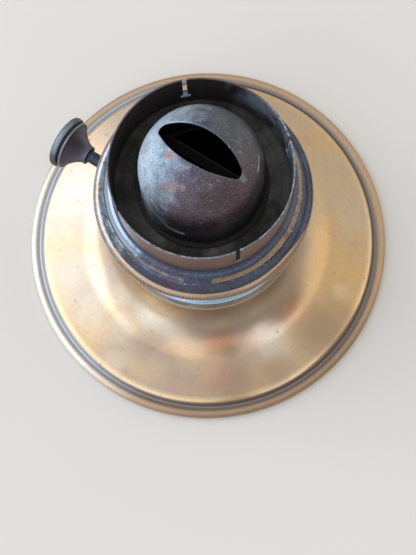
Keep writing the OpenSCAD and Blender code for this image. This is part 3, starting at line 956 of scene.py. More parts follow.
flange_outline = rounded(
    [(FLANGE_IN, basket_top)]
    + arc(top_bead_c, TOP_BEAD_R, 88, BEAD_TURN, 12)
    + [strip_start, (strip_r, strip_top), (strip_r, strip_foot),
       (strip_r - STRIP_GROOVE, strip_foot - 0.1 * MM),
       (strip_r - STRIP_GROOVE, slope_top + 0.2 * MM), slope_start]
    + arc(edge_c, EDGE_R, EDGE_MEETS, EDGE_ENDS, 30)
    + [(slope_in, slope_top), (slope_in, strip_top)]
    + [p for p in inner_bead if p[0] > FLANGE_IN]
    + [(FLANGE_IN, top_bead_c[1] + TOP_BEAD_R - GALLERY_WALL)],
    corner=0.15 * MM, step=0.35 * MM,
)
flange_columns = turned_columns(flange_outline, count=288)
print("flange outline:", len(flange_outline), "points")

# %% Milled edge
MILL_TEETH = 290
MILL_DEPTH = 0.2 * MM
MILL_OUT = 0.06 * MM
MILL_IN = 0.4 * MM
MILL_FROM, MILL_TO = -75, 50
MILL_SPAN = (MILL_FROM + 12, MILL_TO - 12, 10)
MILL_SLANT = 2.2
mill_outline = (arc(edge_c, EDGE_R + MILL_OUT, MILL_FROM, MILL_TO, 14)
                + arc(edge_c, EDGE_R - MILL_IN, MILL_TO, MILL_FROM, 4))


def round_edge(r, z):
    """Where a point lies about the turned-over edge: how far out, and at which angle."""
    out, up = r - edge_c[0], z - edge_c[1]
    return math.hypot(out, up), math.degrees(math.atan2(up, out))


def milling(r, z, angle):
    """Slanted teeth, which fade out at both sides of the band."""
    far, turned = round_edge(r, z)
    if far < EDGE_R:
        return 0
    phase = MILL_TEETH * angle + math.radians(turned) * MILL_SLANT
    return MILL_DEPTH * hump(turned, *MILL_SPAN) * math.cos(phase)


mill_columns = turned_columns(mill_outline, MILL_TEETH * 5, relief=milling)
verts = flat_list(flange_columns)
faces = faces_round(len(flange_columns), len(flange_outline))
faces += faces_round(len(mill_columns), len(mill_outline), len(verts))
verts += flat_list(mill_columns)
print("milled edge:", MILL_TEETH, "teeth")

# %% Flange wear and painted highlights
# Bare brass round the edge, in degrees: from, to, and how far it draws back at the right
BARE_FROM, BARE_TO, BARE_LESS = -100, 86, 58
TOOTH_TOP = 0.03 * MM
# Where the strip is bright, partly bare brass and partly a painted highlight: strength and span
# of sides
STRIP_SIDES = [
    (1.0, (-84, -36, 2)), (0.64, (-36, 40, 6)), (0.62, (-103, -101, 1)), (0.56, (-148, -102, 6)),
]


def flange_bare_and_highlight(point):
    """Brass shows on the milled edge and on the strip, most at the front right. The strip's bright
    spans are partly a painted reflection.
    """
    far, turned = round_edge(from_axis(point), point.z)
    edge = 0.0
    if far < EDGE_R + 0.3 * MM:
        reach = BARE_TO - patch(point, BARE_LESS, side=(-14, 95, 25))
        edge = 0.85 * hump(turned, BARE_FROM, reach, 6)
    # The hollows between the teeth stay dark
    if far < EDGE_R + TOOTH_TOP and turned < MILL_TO - 8:
        edge *= 0.15
    bright = max(patch(point, strength, side=span) for strength, span in STRIP_SIDES)
    inner = strip_start[0] + 0.5 * MM - patch(point, 0.4 * MM, side=(-36, 60, 20))
    strip = patch(point, 0.8 * bright, r=(inner, strip_r + 0.1 * MM, 0.2 * MM),
                  z=(strip_foot, strip_start[1] - 0.1 * MM, 0.15 * MM))
    return max(edge, strip)


def flange_highlight(point):
    """A painted highlight: pale on the bead and the skirt at the left, where the window's light
    falls.
    """
    bead = patch(point, 0.72, z=(strip_top + 0.6 * MM, basket_top, 0.5 * MM))
    return patch(point, max(bead, 0.5 * (point.z < slope_top)), turn=(140, 215, 35))


def flange_dust(point):
    """Pale grains caught in the groove and on the bead."""
    groove = patch(point, z=(slope_top - 0.5 * MM, strip_foot + 0.1 * MM, 0.5 * MM))
    return max(groove, patch(point, 0.45, z=(strip_top, basket_top, 0.4 * MM)))


flange_masks = {"bare_and_highlight": flange_bare_and_highlight, "dust": flange_dust, "bloom_and_highlight": flange_highlight}
flange = dress("flange_skirt", verts, faces, flange_masks, sharp=40)
place_piece(flange, "gallery", "dark_bronze", [flange_bronze], "gallery_flange")

# %% [markdown]
# ## Gallery floor
#
# The floor is a flat ring that closes the gallery round the dome. Soot and lamp oil have baked
# onto it, so it is nearly black and dull, with a faint raised ring where it was pressed.

# %% Soot
def soot_finish(name, dark, haze, roughness):
    """Baked soot, with a paler haze in places."""
    material, tree, shader = finish(name, Metallic=0.0, Specular_IOR_Level=0.22)
    patches = use(tree, "Clouds", Scale=130, Low=0.32, High=0.66, Shift=6.0)
    hazy = times(tree, patches, calc(tree, "ADD", painted(tree, "haze"), 0.03))
    fine = use(tree, "Clouds", Scale=1100, Low=0.3, High=0.8, Shift=7.0)
    grains = use(tree, "Specks", Scale=900, Size=0.25, Share=0.06, Shift=1.0)
    colour = layered(tree, dark, [
        (hazy, haze), (times(tree, fine, 0.24), BLACK),
        (times(tree, grains, 0.25), rgb(0.4, 0.4, 0.36)),
    ])
    feed(tree, shader, Base_Color=colour, Roughness=total(tree, roughness, [(hazy, -0.12)]),
         Normal=bump(tree, fine, 0.04 * MM, 0.6))
    return material


floor_soot = soot_finish(
    "floor_soot", rgb(0.030, 0.026, 0.020), rgb(0.148, 0.132, 0.106), 0.62,
)
ring_soot = soot_finish("ring_soot", rgb(0.034, 0.024, 0.019), rgb(0.25, 0.30, 0.33), 0.50)
print("soot:", floor_soot.name, ring_soot.name)

# %% Gallery floor
ring_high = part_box("gallery_ring")[1]
ring_r, ring_top = ring_high[0], ring_high[2]
FLOOR_HOLE_R = 16.3 * MM
PRESSED_R = 22.4 * MM
PRESSED_W = 1.8 * MM
PRESSED_H = 0.12 * MM
PRESSED_STEPS = 12
pressed = []
for k in range(PRESSED_STEPS + 1):
    t = k / PRESSED_STEPS
    rise = PRESSED_H * math.sin(math.pi * t)
    pressed.append((PRESSED_R + PRESSED_W * (0.5 - t), floor_top + rise))
floor_outline = rounded(
    [(FLOOR_HOLE_R, basket_top), (floor_r, basket_top), (floor_r, floor_top)]
    + pressed
    + [(FLOOR_HOLE_R, floor_top)],
    corner=0.1 * MM, step=0.8 * MM,
)


def floor_haze(point):
    """Soot that is paler at the right, and along an arc at the front."""
    smear = patch(point, 0.7, r=(20.2 * MM, 21.2 * MM, 1.2 * MM), side=(-125, -82, 14))
    return 0.4 + patch(point, 0.35, side=(-60, 50, 30)) + smear


floor_columns = turned_columns(floor_outline, count=224)
gallery_floor = skin("gallery_plate", floor_columns, {"haze": floor_haze})
place_piece(gallery_floor, "gallery", "sooty_brass", [floor_soot, flange_bronze], "gallery_floor")
second_finish(gallery_floor.data, lambda face: from_axis(face.center) > ring_r)

# %% [markdown]
# ## Gallery ring
#
# The ring is a strip of spring brass, with four slits that let it give when a chimney is pushed
# in. A slit ends in a wider foot. Cutting slits with a Boolean leaves long thin faces, so the ring
# is laid out as a grid whose rows and columns meet the slits, and the cells in a slit are left
# out. A Solidify modifier gives the wall, and its inside and rim get finishes of their own: copper
# brown outside, soot inside, and a pale worn rim.

# %% Ring finishes
ring_copper, tree, shader = finish("ring_copper", Metallic=1.0)
place = add(tree, "Mapping", {"Vector": on_piece(tree), "Scale": (60, 60, 1500)}).outputs[0]
streaks = add(tree, "TexNoise", {
    "Vector": place, "Scale": 1.0, "Detail": 4.0, "Roughness": 0.7,
}).outputs[0]
grains = use(tree, "Specks", Scale=700, Size=0.2, Share=0.08)
colour = layered(tree, rgb(0.40, 0.235, 0.15), [
    (use(tree, "Clouds", Scale=60, Low=0.35, High=0.65), rgb(0.29, 0.19, 0.135)),
    (fade(tree, streaks, 0.35, 0.7), rgb(0.17, 0.115, 0.09)),
    # A painted highlight: cool pale blue on the outside at the left
    ("cool", rgb(0.55, 0.59, 0.64)),
    (times(tree, grains, 0.6), rgb(0.7, 0.7, 0.66)),
])
feed(tree, shader, Base_Color=colour, Roughness=fade(tree, streaks, 0.2, 0.8, 0.3, 0.46),
     Normal=bump(tree, streaks, 0.02 * MM, 0.5))

ring_rim, tree, shader = finish("ring_rim", Metallic=1.0)
chips = use(tree, "Clouds", Scale=700, Low=0.32, High=0.62)
pale = times(tree, chips, painted(tree, "chipped"))
feed(tree, shader, Base_Color=mix(tree, pale, rgb(0.10, 0.08, 0.075), rgb(0.33, 0.385, 0.43)),
     Roughness=fade(tree, chips, 0.0, 1.0, 0.5, 0.3))
print("ring finishes:", ring_copper.name, ring_soot.name, ring_rim.name)

# %% Ring grid
SLIT_ANGLES = [50, 133, 240, 325]
SLIT_W = 1.3 * MM
SLIT_L = 12.4 * MM
SLIT_FOOT_W = 3 * MM
SLIT_FOOT_H = 1.7 * MM
SLIT_CLEAR = 0.5
RING_COLUMNS = 240
FINGER_BEND = 0.25 * MM
FINGER_WAVES = 1.6
FINGER_SHIFT = Vector((0, 0, 4))

slit_half = math.degrees(SLIT_W / 2 / ring_r)
foot_half = math.degrees(SLIT_FOOT_W / 2 / ring_r)
ring_angles = [360 * i / RING_COLUMNS for i in range(RING_COLUMNS)]
ring_angles = [a for a in ring_angles
               if all(abs(a - s) > foot_half + SLIT_CLEAR for s in SLIT_ANGLES)]
for s in SLIT_ANGLES:
    ring_angles += [s - foot_half, s - slit_half, s, s + slit_half, s + foot_half]
ring_angles.sort()
slit_foot = ring_top - SLIT_L
foot_top = slit_foot + SLIT_FOOT_H


def spread(low, high, count):
    """Even steps from low up to high, without high itself."""
    return [low + (high - low) * k / count for k in range(count)]


heights = spread(floor_top, slit_foot, 4) + spread(slit_foot, foot_top, 2)
heights += spread(foot_top, ring_top, 14) + [ring_top]


def ring_lean(angle, z):
    """The fingers between the slits are bent a little, each in its own way."""
    rise = max(0.0, (z - slit_foot) / SLIT_L)
    bend = FINGER_BEND * noise.noise(upright(1, 0, angle) * FINGER_WAVES + FINGER_SHIFT)
    return rise * rise * bend


verts, faces = [], []
for a in map(math.radians, ring_angles):
    verts += [upright(ring_r + ring_lean(a, z), z, a) for z in heights]
rows = len(heights)
for i, a in enumerate(ring_angles):
    j = (i + 1) % len(ring_angles)
    middle = a + (ring_angles[j] - a) % 360 / 2
    off = min(abs(middle - s) for s in SLIT_ANGLES)
    for k in range(rows - 1):
        z = (heights[k] + heights[k + 1]) / 2
        if z > slit_foot and (off < slit_half or off < foot_half and z < foot_top):
            continue
        faces.append((i * rows + k, j * rows + k, j * rows + k + 1, i * rows + k + 1))
print("ring grid:", len(ring_angles), "columns of", rows, "points")

# %% Gallery ring
RING_WALL = 0.5 * MM
RING_ROUNDING = 0.1 * MM


def ring_haze(point):
    """A pale haze inside, at the back right, most near the rim."""
    near_rim = patch(point, 0.75, z=(ring_top - 6 * MM, ring_top, 4 * MM))
    return patch(point, 0.6 + near_rim, side=(0, 56, 20))


def ring_chipped(point):
    """The rim is rubbed pale at the front and the right, and less inside the slits."""
    on_rim = patch(point, 0.65, z=(ring_top - 0.3 * MM, ring_top + MM, MM))
    return max(0.15, patch(point, 0.35 + on_rim, side=(-130, 30, 25)))


# The outside is painted a cool pale blue at the left: a painted highlight where the window's
# light falls
ring_masks = {
    "cool": lambda p: patch(p, 0.8, turn=(165, 214, 15)),
    "haze": ring_haze, "chipped": ring_chipped,
}
ring = dress("chimney_ring", verts, faces, ring_masks)
wall = ring.modifiers.new("wall", "SOLIDIFY")
wall.thickness = RING_WALL
wall.offset = -1
wall.material_offset = 1
wall.material_offset_rim = 2
rounding = ring.modifiers.new("rounding", "BEVEL")
rounding.width = RING_ROUNDING
rounding.segments = 2
rounding.limit_method = "ANGLE"
place_piece(ring, "gallery", "copper_brown", [ring_copper, ring_soot, ring_rim], "gallery_ring")

# %% [markdown]
# ## Flame dome
#
# The dome is pressed from sheet, with an eye-shaped slot over the wick. A sphere cut by a Boolean
# would leave a ragged lip. Here each column starts at the slot's edge, runs down over the dome to
# its foot, turns under and comes back up the inside, so the lip is round and the faces flow round
# the slot.

# %% Dome finish
dome_bronze, tree, shader = finish("dome_bronze")
patches = use(tree, "Clouds", Scale=150, Low=0.15, High=0.5, Shift=2.2)
cloud = use(tree, "Clouds", Scale=300, Low=0.2, High=0.8, Shift=11.0)
grain = use(tree, "Clouds", Scale=2300, Low=0.32, High=0.68, Shift=5.0)
# The blue-grey bloom is partly a painted highlight on the side the window lights; the pale blue
# along the left edge is a painted highlight
bloom_and_highlight = total(tree, painted(tree, "bloom_and_highlight"), [(calc(tree, "SUBTRACT", cloud, 0.5), 0.5)])
bloom_and_highlight = fade(tree, bloom_and_highlight, 0.0, 1.0)
edge_glare = times(tree, painted(tree, "edge_glare"), fade(tree, cloud, 0.0, 1.0, 0.6, 1.0))
lip = worn(tree, "lip", Scale=800, Breakup=0.5)
# Soot inside the dome; round the foot and at the front right the dark is painted shade
soot_and_shade = worn(tree, "soot_and_shade", Scale=300, Breakup=0.35)
streak = worn(tree, "streak", Scale=500, Breakup=0.6)
coarse = use(tree, "Specks", Scale=1000, Size=0.30, Share=0.28, Shift=4.0)
fine = use(tree, "Specks", Scale=2300, Size=0.38, Share=0.5, Shift=9.0)
dust = calc(tree, "MAXIMUM", times(tree, coarse, 0.40), times(tree, fine, 0.34))

colour = layered(tree, rgb(0.085, 0.093, 0.113), [
    (use(tree, "Clouds", Scale=90, Low=0.36, High=0.64), rgb(0.13, 0.136, 0.155)),
    (times(tree, painted(tree, "maroon"), patches), rgb(0.145, 0.099, 0.104)),
    (bloom_and_highlight, rgb(0.45, 0.55, 0.615)),
    (edge_glare, rgb(0.74, 0.84, 0.92)),
    (worn(tree, "bare_and_highlight", Scale=900, Breakup=0.6), rgb(0.30, 0.20, 0.17)),
])
shade = mix(tree, grain, rgb(0.62, 0.62, 0.62), rgb(1.3, 1.3, 1.3))
colour = layered(tree, mix(tree, 1.0, colour, shade, "MULTIPLY"), [
    (times(tree, lip, 0.35), rgb(0.40, 0.47, 0.51)),
    (soot_and_shade, rgb(0.032, 0.028, 0.032)),
    (times(tree, streak, 0.85), rgb(0.76, 0.74, 0.62)),
    (dust, rgb(0.50, 0.54, 0.56)),
])
cover = total(tree, times(tree, bloom_and_highlight, 0.45), [(soot_and_shade, 0.95)])
cover = calc(tree, "MAXIMUM", cover, times(tree, edge_glare, 0.9))
metal = inverse(tree, calc(tree, "MAXIMUM", cover, dust))
feed(tree, shader, Base_Color=colour, Metallic=metal, Roughness=total(tree, 0.42, [(grain, 0.12)]),
     Normal=bump(tree, grain, 0.03 * MM, 0.6))
print("dome finish:", len(tree.nodes), "nodes")

# %% Slot
SLOT_L = 26.2 * MM
SLOT_W = 10.8 * MM
SLOT_TIP = 2.2 * MM
SLOT_SHIFT = Vector((-0.4, 0.65)) * MM
TIP_STEPS = 30
LONG_STEPS = 60
FULL_TURN = 2 * math.pi


def eye_outline(length, width, tip):
    """The slot's outline: two long arcs with round tips."""
    x, b = length / 2 - tip, width / 2 - tip
    k = (x * x - b * b) / (2 * b)
    a = math.degrees(math.atan2(k, x))
    long_r = width / 2 + k
    arcs = [
        arc((x, 0), tip, -a, a, TIP_STEPS), arc((0, -k), long_r, a, 180 - a, LONG_STEPS),
        arc((-x, 0), tip, 180 - a, 180 + a, TIP_STEPS),
        arc((0, k), long_r, 180 + a, 360 - a, LONG_STEPS),
    ]
    return [p for points in arcs for p in points[:-1]]


eye = eye_outline(SLOT_L, SLOT_W, SLOT_TIP)
eye_turn = [math.atan2(y / SLOT_W, x / SLOT_L) % FULL_TURN for x, y in eye]
first = eye_turn.index(min(eye_turn))
eye = eye[first:] + eye[:first]
eye_turn = eye_turn[first:] + eye_turn[:first]


def eye_at(turn):
    """The slot's edge at an angle, measured on the eye stretched to a circle."""
    k = sum(t <= turn for t in eye_turn) - 1
    m = (k + 1) % len(eye)
    t = (turn - eye_turn[k]) % FULL_TURN / ((eye_turn[m] - eye_turn[k]) % FULL_TURN)
    return Vector(eye[k]).lerp(Vector(eye[m]), t) + SLOT_SHIFT


print("slot:", len(eye), "points")

# %% Dome shape
DOME_R = 17.5 * MM
DOME_WALL = 0.6 * MM
DOME_RISE = 13.8 * MM
DOME_FILLET = 0.9 * MM
DOME_FLARE = 0.5 * MM
FLARE_CURVE = 1.5
FOOT_EDGE = 0.2 * MM
DOME_COLUMNS = 224
DOME_ROWS = 34
ROW_CURVE = 1.15
WALL_ROWS = 24
INNER_ROWS = 4
LIP_STEPS = 5
DENTS = [(0.045 * MM, 130), (0.02 * MM, 420)]
BUMP_AT = (0.9 * MM, -6.2 * MM)
BUMP_H = 0.34 * MM
BUMP_R = 0.65 * MM
dome_c = Vector((0, 0, floor_top + DOME_RISE))
dome_in = DOME_R - DOME_WALL
dome_foot_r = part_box("flame_dome")[1][0]
foot_h = floor_top + DOME_WALL


def on_dome(radius, tilt, angle):
    """A point of the dome, tilted from straight up."""
    return dome_c + upright(radius * math.sin(tilt), radius * math.cos(tilt), angle)


def dome_relief(point):
    """Slow dents, and one small raised spot below the slot."""
    off = math.hypot(point.x - BUMP_AT[0], point.y - BUMP_AT[1])
    spot = BUMP_H * math.exp(-(off / BUMP_R) ** 2) * (point.z > dome_c.z)
    return uneven(point, DENTS) + spot


wall_h = DOME_RISE - DOME_WALL - DOME_FILLET
fillet_c = (DOME_R + DOME_FLARE + DOME_FILLET, foot_h + DOME_FILLET)
dome_foot = []
for k in range(1, WALL_ROWS):
    t = k / WALL_ROWS
    dome_foot.append((DOME_R + DOME_FLARE * t ** FLARE_CURVE, dome_c.z - wall_h * t))
dome_foot += arc(fillet_c, DOME_FILLET, 180, 270, 6)
dome_foot += [(dome_foot_r - FOOT_EDGE, foot_h), (dome_foot_r, foot_h - FOOT_EDGE),
              (dome_foot_r, floor_top)]
dome_foot += [(dome_in, z) for z in spread(floor_top, dome_c.z, INNER_ROWS)]


def dome_column(turn):
    """One column: down the outside, under the foot, up the inside and round the lip."""
    start = eye_at(turn)
    tilt, angle = math.asin(start.length / DOME_R), math.atan2(start.y, start.x)
    swing = (turn - angle + math.pi) % FULL_TURN - math.pi

    def down(radius):
        points = []
        for k in range(DOME_ROWS + 1):
            t = (k / DOME_ROWS) ** ROW_CURVE
            ease = t * t * (3 - 2 * t)
            points.append(on_dome(radius, tilt + (math.pi / 2 - tilt) * t, angle + swing * ease))
        return points

    outer, inner = down(DOME_R), down(dome_in)
    outer = [p + (p - dome_c).normalized() * dome_relief(p) for p in outer]
    middle, half = (outer[0] + inner[0]) / 2, (outer[0] - inner[0]) / 2
    into_slot = (outer[0] - outer[1]).normalized() * half.length
    lip_turns = [math.pi * k / LIP_STEPS for k in range(1, LIP_STEPS)]
    lip = [middle - half * math.cos(a) + into_slot * math.sin(a) for a in lip_turns]
    return outer + [upright(r, z, turn) for r, z in dome_foot] + inner[::-1] + lip


dome_columns = [dome_column(FULL_TURN * i / DOME_COLUMNS) for i in range(DOME_COLUMNS)]
print("dome:", len(dome_columns), "columns of", len(dome_columns[0]), "points")

# %% Dome wear and painted light
DOME_SPOTS = [
    (-6.1, -5.3, 1.4, 0.7), (-5.0, -5.6, 0.9, 0.66), (-2.8, -12.2, 1.8, 0.6),
    (-0.8, -11.4, 1.9, 0.6), (1.3, -10.7, 1.6, 0.56), (-0.7, -6.5, 0.6, 0.7),
    (7.4, -6.2, 0.5, 0.8), (9.0, 5.6, 0.9, 0.6), (3.7, 12.4, 0.9, 0.5),
]
# How a mask leans: its start, then its growth to the right, to the back and upwards
BLOOM_AND_HIGHLIGHT_LEAN = (0.05, -0.95, 0.36, 0)
MAROON_LEAN = (0.12, 0.42, -0.8925, 0)
SHADE_LEAN = (0.22, 0.36, -0.14, -0.75)


def is_inside(point):
    """Whether a point lies on the dome's inner face."""
    if point.z > dome_c.z:
        return (point - dome_c).length < DOME_R - 0.45 * DOME_WALL
    return from_axis(point) < DOME_R - 0.5 * DOME_WALL


def dome_ways(point):
    """How far a point lies to the right, to the back and up, in dome radii."""
    out = (point - dome_c) / DOME_R
    return out.dot(picture_right), out.dot(picture_back), out.z


def leaning(point, start, *growths):
    return start + sum(growth * way for growth, way in zip(growths, dome_ways(point)))


def dome_edge_glare(point):
    """A painted highlight, palest along the left edge, where the window's light falls."""
    if is_inside(point):
        return 0.0
    right, back, up = dome_ways(point)
    edge = hump(-right, 0.95, 2, 0.28) * hump(back, -0.35, 0.4, 0.3)
    return 0.85 * edge * hump(up, -0.3, 1, 0.25)


def dome_soot_and_shade(point):
    """Soot on the inside. Round the foot, and higher up at the front right, the dark is painted
    shade.
    """
    if is_inside(point) or point.z < floor_top + 0.9 * MM:
        return 1.2
    return limited(leaning(point, *SHADE_LEAN), 0.9)


# Coppery spots near the slot; a blue-grey bloom at the left and the back, partly a painted
# highlight where the window's light falls; a painted highlight along the left edge; soot, with
# painted shade round the foot and at the front right; and maroon from the heat
dome_masks = {
    "bare_and_highlight": lambda p: blotched(p, DOME_SPOTS) if p.z > dome_c.z else 0.0,
    "bloom_and_highlight": lambda p: limited(leaning(p, *BLOOM_AND_HIGHLIGHT_LEAN)),
    "maroon": lambda p: limited(leaning(p, *MAROON_LEAN)),
    "edge_glare": dome_edge_glare, "soot_and_shade": dome_soot_and_shade,
}
print("dome wear:", ", ".join(dome_masks))

# %% Dome marks
STREAK_H = floor_top + 13.2 * MM
STREAK_DROP = 5.8 * MM
STREAK_HALF = 0.9 * MM
LIP_WEAR_R = 0.4 * MM
LIP_WORN_AT = Vector((13.1, 0.5)) * MM
LIP_WORN_R = 1.5 * MM
FOOT_SHADE_H = 0.75 * MM


def dome_streak(point):
    """A pale streak low at the left, and a thin curved mark at the right."""
    if is_inside(point):
        return 0.0
    line = STREAK_H - patch(point, STREAK_DROP, turn=(240, 262, 31))
    heights = (line - STREAK_HALF, line + STREAK_HALF, 0.8 * MM)
    up = min(1.0, max(-1.0, (point.z - dome_c.z) / DOME_R))
    mark = hump(math.degrees(math.acos(up)), 63.5, 64.5, 1.2)
    return max(patch(point, 0.68, z=heights, turn=(205, 253, 5)),
               patch(point, 0.75 * mark, side=(-12, 4, 4)))


def dome_lip(point):
    """Pale wear along the slot's lip, most at its right tip."""
    if point.z < dome_c.z or is_inside(point):
        return 0.0
    place = Vector((point.x, point.y))
    off = min((place - SLOT_SHIFT - Vector(e)).length for e in eye)
    from_tip = (place - LIP_WORN_AT).length
    return max(0.42 * math.exp(-(off / LIP_WEAR_R) ** 2),
               0.72 * math.exp(-(from_tip / LIP_WORN_R) ** 2))


dome_masks.update(streak=dome_streak, lip=dome_lip)
dome = skin("dome_shell", dome_columns, dome_masks, sharp=60)
place_piece(dome, "gallery", "dark_bronze", [dome_bronze, floor_soot], "flame_dome")
# The foot ring takes the floor's soot finish: painted shade where the dome meets the floor
second_finish(dome.data, lambda face: face.center.z < floor_top + FOOT_SHADE_H)

# %% [markdown]
# ## Thumb wheel
#
# The wheel turns the shaft that feeds the wick. It is a shallow cap with a serrated edge, pressed
# over the wide end of a trumpet-shaped hub. Behind the cap lie a groove and a thin ridge, rubbed
# pale. Both pieces are turned about the shaft, so the same columns serve, carried round another
# axis.

# %% Thumb wheel
cap_low, cap_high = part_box("wheel_cap")
wheel_x, cap_back = cap_low[0], cap_high[0]
wheel_r = (cap_high[1] - cap_low[1]) / 2
shaft_y, shaft_z = ((cap_low[i] + cap_high[i]) / 2 for i in (1, 2))
SHAFT_R = 2 * MM
WHEEL_TEETH = 56
WHEEL_DEPTH = 0.35 * MM
TOOTH_SHOWN = 0.22
CAP_FACE = 0.9 * MM
CAP_IN = wheel_r - WHEEL_DEPTH - 0.8 * MM
SEAM = 0.1 * MM
RIM_SHORT = 0.5 * MM
rim_back = cap_back - RIM_SHORT
face_in = wheel_x + CAP_FACE


def along_shaft(radius, length, angle):
    """A point of an outline turned about the shaft, with its length along +X."""
    return Vector((length, shaft_y + radius * math.cos(angle), shaft_z + radius * math.sin(angle)))


cap_outline = rounded([
    (SHAFT_R + SEAM, face_in), (SHAFT_R + SEAM, wheel_x + 0.1 * MM), (wheel_r * 0.6, wheel_x),
    (wheel_r - 1.1 * MM, wheel_x), (wheel_r - 0.4 * MM, wheel_x + 0.25 * MM),
    (wheel_r, wheel_x + 0.8 * MM), (wheel_r, rim_back - 0.5 * MM),
    (wheel_r - 0.3 * MM, rim_back - 0.12 * MM), (wheel_r - 0.6 * MM, rim_back),
    (CAP_IN, rim_back), (CAP_IN, face_in),
], corner=0.25 * MM, step=0.5 * MM)


def serration(r, x, angle):
    """Rounded teeth on the rim, which run out at its two edges."""
    if r < wheel_r - 0.35 * MM:
        return 0
    tooth = (0.5 + 0.5 * math.cos(WHEEL_TEETH * angle)) ** 1.5
    on_rim = hump(x, wheel_x + 0.7 * MM, rim_back - 0.55 * MM, 0.35 * MM)
    return -WHEEL_DEPTH * TOOTH_SHOWN * on_rim * tooth


def from_shaft(point):
    return math.hypot(point.y - shaft_y, point.z - shaft_z)


def wheel_highlight(point):
    """The rim is painted pale where it lies on top at rest: a painted reflection of the light."""
    turned = math.degrees(math.atan2(point.y - shaft_y, point.z - shaft_z))
    on_rim = hump(from_shaft(point), wheel_r - 0.2 * MM, wheel_r + MM, 0.2 * MM)
    return 0.66 * hump(turned, -42, 26, 34) * on_rim


cap_columns = turned_columns(cap_outline, WHEEL_TEETH * 8, along_shaft, serration)
cap = skin("wheel_rim", cap_columns, {"bare_and_highlight": wheel_highlight, "dust": lambda p: 0.3}, sharp=40)
place_piece(cap, "raiser", "dark_bronze", [wheel_bronze], "wheel_cap")

# %% Hub
hub_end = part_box("wheel_hub")[1][0]
HUB_INSET = 1 * MM
HUB_GROOVE = 0.45 * MM
HUB_RIDGE_R = 0.5 * MM
HUB_RIDGE_OUT = 0.7 * MM
HUB_NECK_R = 2.95 * MM
HUB_RING_R = 0.12 * MM
TRUMPET_STEPS = 24
TRUMPET_CURVE = 1.7
groove_r = CAP_IN - SEAM
groove_back = rim_back + HUB_GROOVE
hub_front = cap_back - HUB_INSET
ridge_c = (groove_r + HUB_RIDGE_OUT - HUB_RIDGE_R, groove_back + HUB_RIDGE_R)
flare_start = groove_back + 2 * HUB_RIDGE_R
flare_l = hub_end - 2 * HUB_RING_R - flare_start
flare = []
for k in range(TRUMPET_STEPS + 1):
    t = k / TRUMPET_STEPS
    narrowed = HUB_NECK_R + (groove_r - HUB_NECK_R) * (1 - t) ** TRUMPET_CURVE
    flare.append((narrowed, flare_start + flare_l * t))
hub_outline = rounded(
    [(SHAFT_R, hub_front), (groove_r, hub_front), (groove_r, groove_back)]
    + arc(ridge_c, HUB_RIDGE_R, -90, 90, 12)
    + flare
    + arc((HUB_NECK_R, hub_end - HUB_RING_R), HUB_RING_R, -90, 90, 12)
    + [(SHAFT_R, hub_end)],
    corner=0.1 * MM, step=0.6 * MM,
)
hub = skin("wheel_trumpet", turned_columns(hub_outline, count=144, carry=along_shaft), {
    "bare_and_highlight": lambda p: 0.75 * hump(from_shaft(p), groove_r + 0.35 * MM, wheel_r, 0.2 * MM),
    "dust": lambda p: 0.15,
}, sharp=40)
place_piece(hub, "raiser", "dark_bronze", [wheel_bronze], "wheel_hub")

# %% [markdown]
# ## Wick
#
# The wick is a flat braid of cotton, about 24 mm wide, that hangs from its tube into the kerosene.
# Its top is charred black. It could be a flat card with a weave drawn on it, but the braid is
# coarse, so its ribs are real relief here, kept inside the space that its solid holds.

# %% Braid
wick_low, wick_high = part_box("wick")
wick_w, wick_t, wick_l = (high - low for low, high in zip(wick_low, wick_high))
WICK_ROWS = 220
WICK_RIB = 0.16 * MM
WICK_RIBS = 9
BRAID_STEP = 2.2 * MM
RAGGED = 0.35 * MM
RAGGED_FINE = 900
END_SINK = 0.12 * MM
END_WIDE, END_THICK = 0.985, 0.3
wick_c = (wick_w - wick_t) / 2
wick_section = filled(
    arc((wick_c, 0), wick_t / 2, -90, 90, 10) + arc((-wick_c, 0), wick_t / 2, 90, 270, 10),
    0.5 * MM,
)


def braid(x, z, side):
    """Ribs of a flat braid, 0 on the ridges and 1 in the hollows."""
    rib = abs(math.sin(math.pi * WICK_RIBS * (x / wick_w + 0.5)))
    slant = math.sin(2 * math.pi * (z / BRAID_STEP + side * WICK_RIBS * x / wick_w))
    return 0.6 * (1 - rib) + 0.2 * (1 - slant)


wick_columns = []
for (x, y), n in zip(wick_section, outward(wick_section)):
    column = []
    for k in range(WICK_ROWS + 1):
        z = wick_low[2] + wick_l * k / WICK_ROWS
        sink = WICK_RIB * braid(x, z, 1 if y > 0 else -1)
        column.append(Vector((x - n.x * sink, y - n.y * sink, z)))
    frayed = noise.noise(Vector((x * RAGGED_FINE, y * RAGGED_FINE, 1)))
    column[-1].z -= RAGGED * (0.5 + 0.5 * frayed)
    wick_columns.append(column)

# Each end closes with a narrower rim and one face
count, rows = len(wick_columns), WICK_ROWS + 1
verts = flat_list(wick_columns)
faces = faces_round(count, rows, closed=False)
for k, sink in ((0, 0), (WICK_ROWS, END_SINK)):
    rim = [i * rows + k for i in range(count)]
    inner = list(range(len(verts), len(verts) + count))
    ends = [verts[i] for i in rim]
    verts += [Vector((p.x * END_WIDE, p.y * END_THICK, p.z - sink)) for p in ends]
    for i in range(count):
        j = (i + 1) % count
        faces.append((rim[i], rim[j], inner[j], inner[i]))
    faces.append(tuple(inner))
print("braid:", count, "columns of", rows, "points")

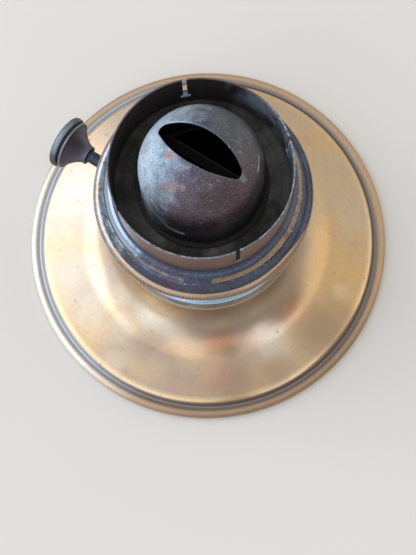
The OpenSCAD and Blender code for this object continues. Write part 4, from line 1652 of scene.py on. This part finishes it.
# %% Wick
wick_cotton, tree, shader = finish("wick_cotton", Roughness=0.9, Specular_IOR_Level=0.1)
yarn = use(tree, "Clouds", Scale=1400, Low=0.3, High=0.7)
oily = use(tree, "Clouds", Scale=90, Low=0.4, High=0.7, Shift=1.0)
charred = worn(tree, "char", Scale=500, Breakup=0.5)
cotton = layered(tree, rgb(0.66, 0.58, 0.42), [
    (yarn, rgb(0.44, 0.36, 0.23)), (oily, rgb(0.40, 0.33, 0.20)),
    (charred, rgb(0.004, 0.0035, 0.0035)),
])
feed(tree, shader, Base_Color=cotton, Normal=bump(tree, yarn, 0.1 * MM, 0.7))

char_span = (wick_high[2] - 6 * MM, wick_high[2] + MM, 5 * MM)
wick = dress("wick_braid", verts, faces, {"char": lambda p: patch(p, z=char_span)}, sharp=60)
place_piece(wick, "wick", "wick_cotton", [wick_cotton], "wick")

# %% [markdown]
# ## Pieces kept as turned
#
# The basket, its tubes and the wick raiser are plain turned and drilled work, and the solids
# already have their true shape. They only need smooth shading and the finish of old burner brass:
# darker and dirtier than the font, and sooty where the flame was near.

# %% Kept pieces
washer_leather, tree, shader = finish("washer_leather", Roughness=0.75)
hide = use(tree, "Clouds", Scale=600, Low=0.3, High=0.7)
feed(tree, shader, Base_Color=mix(tree, hide, rgb(0.10, 0.06, 0.035), rgb(0.17, 0.105, 0.06)),
     Normal=bump(tree, hide, 0.08 * MM, 0.7))

shaft_metal = bronze_finish(
    "shaft_metal", rgb(0.045, 0.052, 0.065), rgb(0.06, 0.072, 0.09), rgb(0.055, 0.045, 0.045),
    0.34,
)
tube_soot = soot_finish("tube_soot", rgb(0.006, 0.005, 0.005), rgb(0.02, 0.02, 0.02), 0.7)

SHARP = math.radians(35)
KEPT = {
    "font_bottom": font_brass, "collar_washer": washer_leather, "burner_base": burner_brass,
    "air_basket": burner_brass, "draught_plate": tube_soot, "vent_tube": tube_soot,
    "wick_tube": tube_soot, "spur_box": burner_brass, "shaft_bush": burner_brass,
    "raiser_shaft": shaft_metal, "shaft_collars": burner_brass, "gallery_spigot": tube_soot,
    **{"spur_wheel_%d" % i: burner_brass for i in range(1, 5)},
}
for name, material in KEPT.items():
    mesh = nodes[name].data
    mesh.materials.clear()
    mesh.materials.append(material)
    mesh.shade_smooth()
    mesh.set_sharp_from_angle(angle=SHARP)

basket_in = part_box("air_basket")[1][0] - MM


def in_basket(face):
    """Inside the basket, its wall and the base under it are sooty too."""
    level = Vector((face.center.x, face.center.y, 0))
    inward = face.normal.dot(level.normalized()) < -0.3
    return inward or face.normal.z > 0.5 and level.length < basket_in


for name in ("air_basket", "burner_base"):
    nodes[name].data.materials.append(tube_soot)
    second_finish(nodes[name].data, in_basket)
print("kept:", len(KEPT), "pieces")
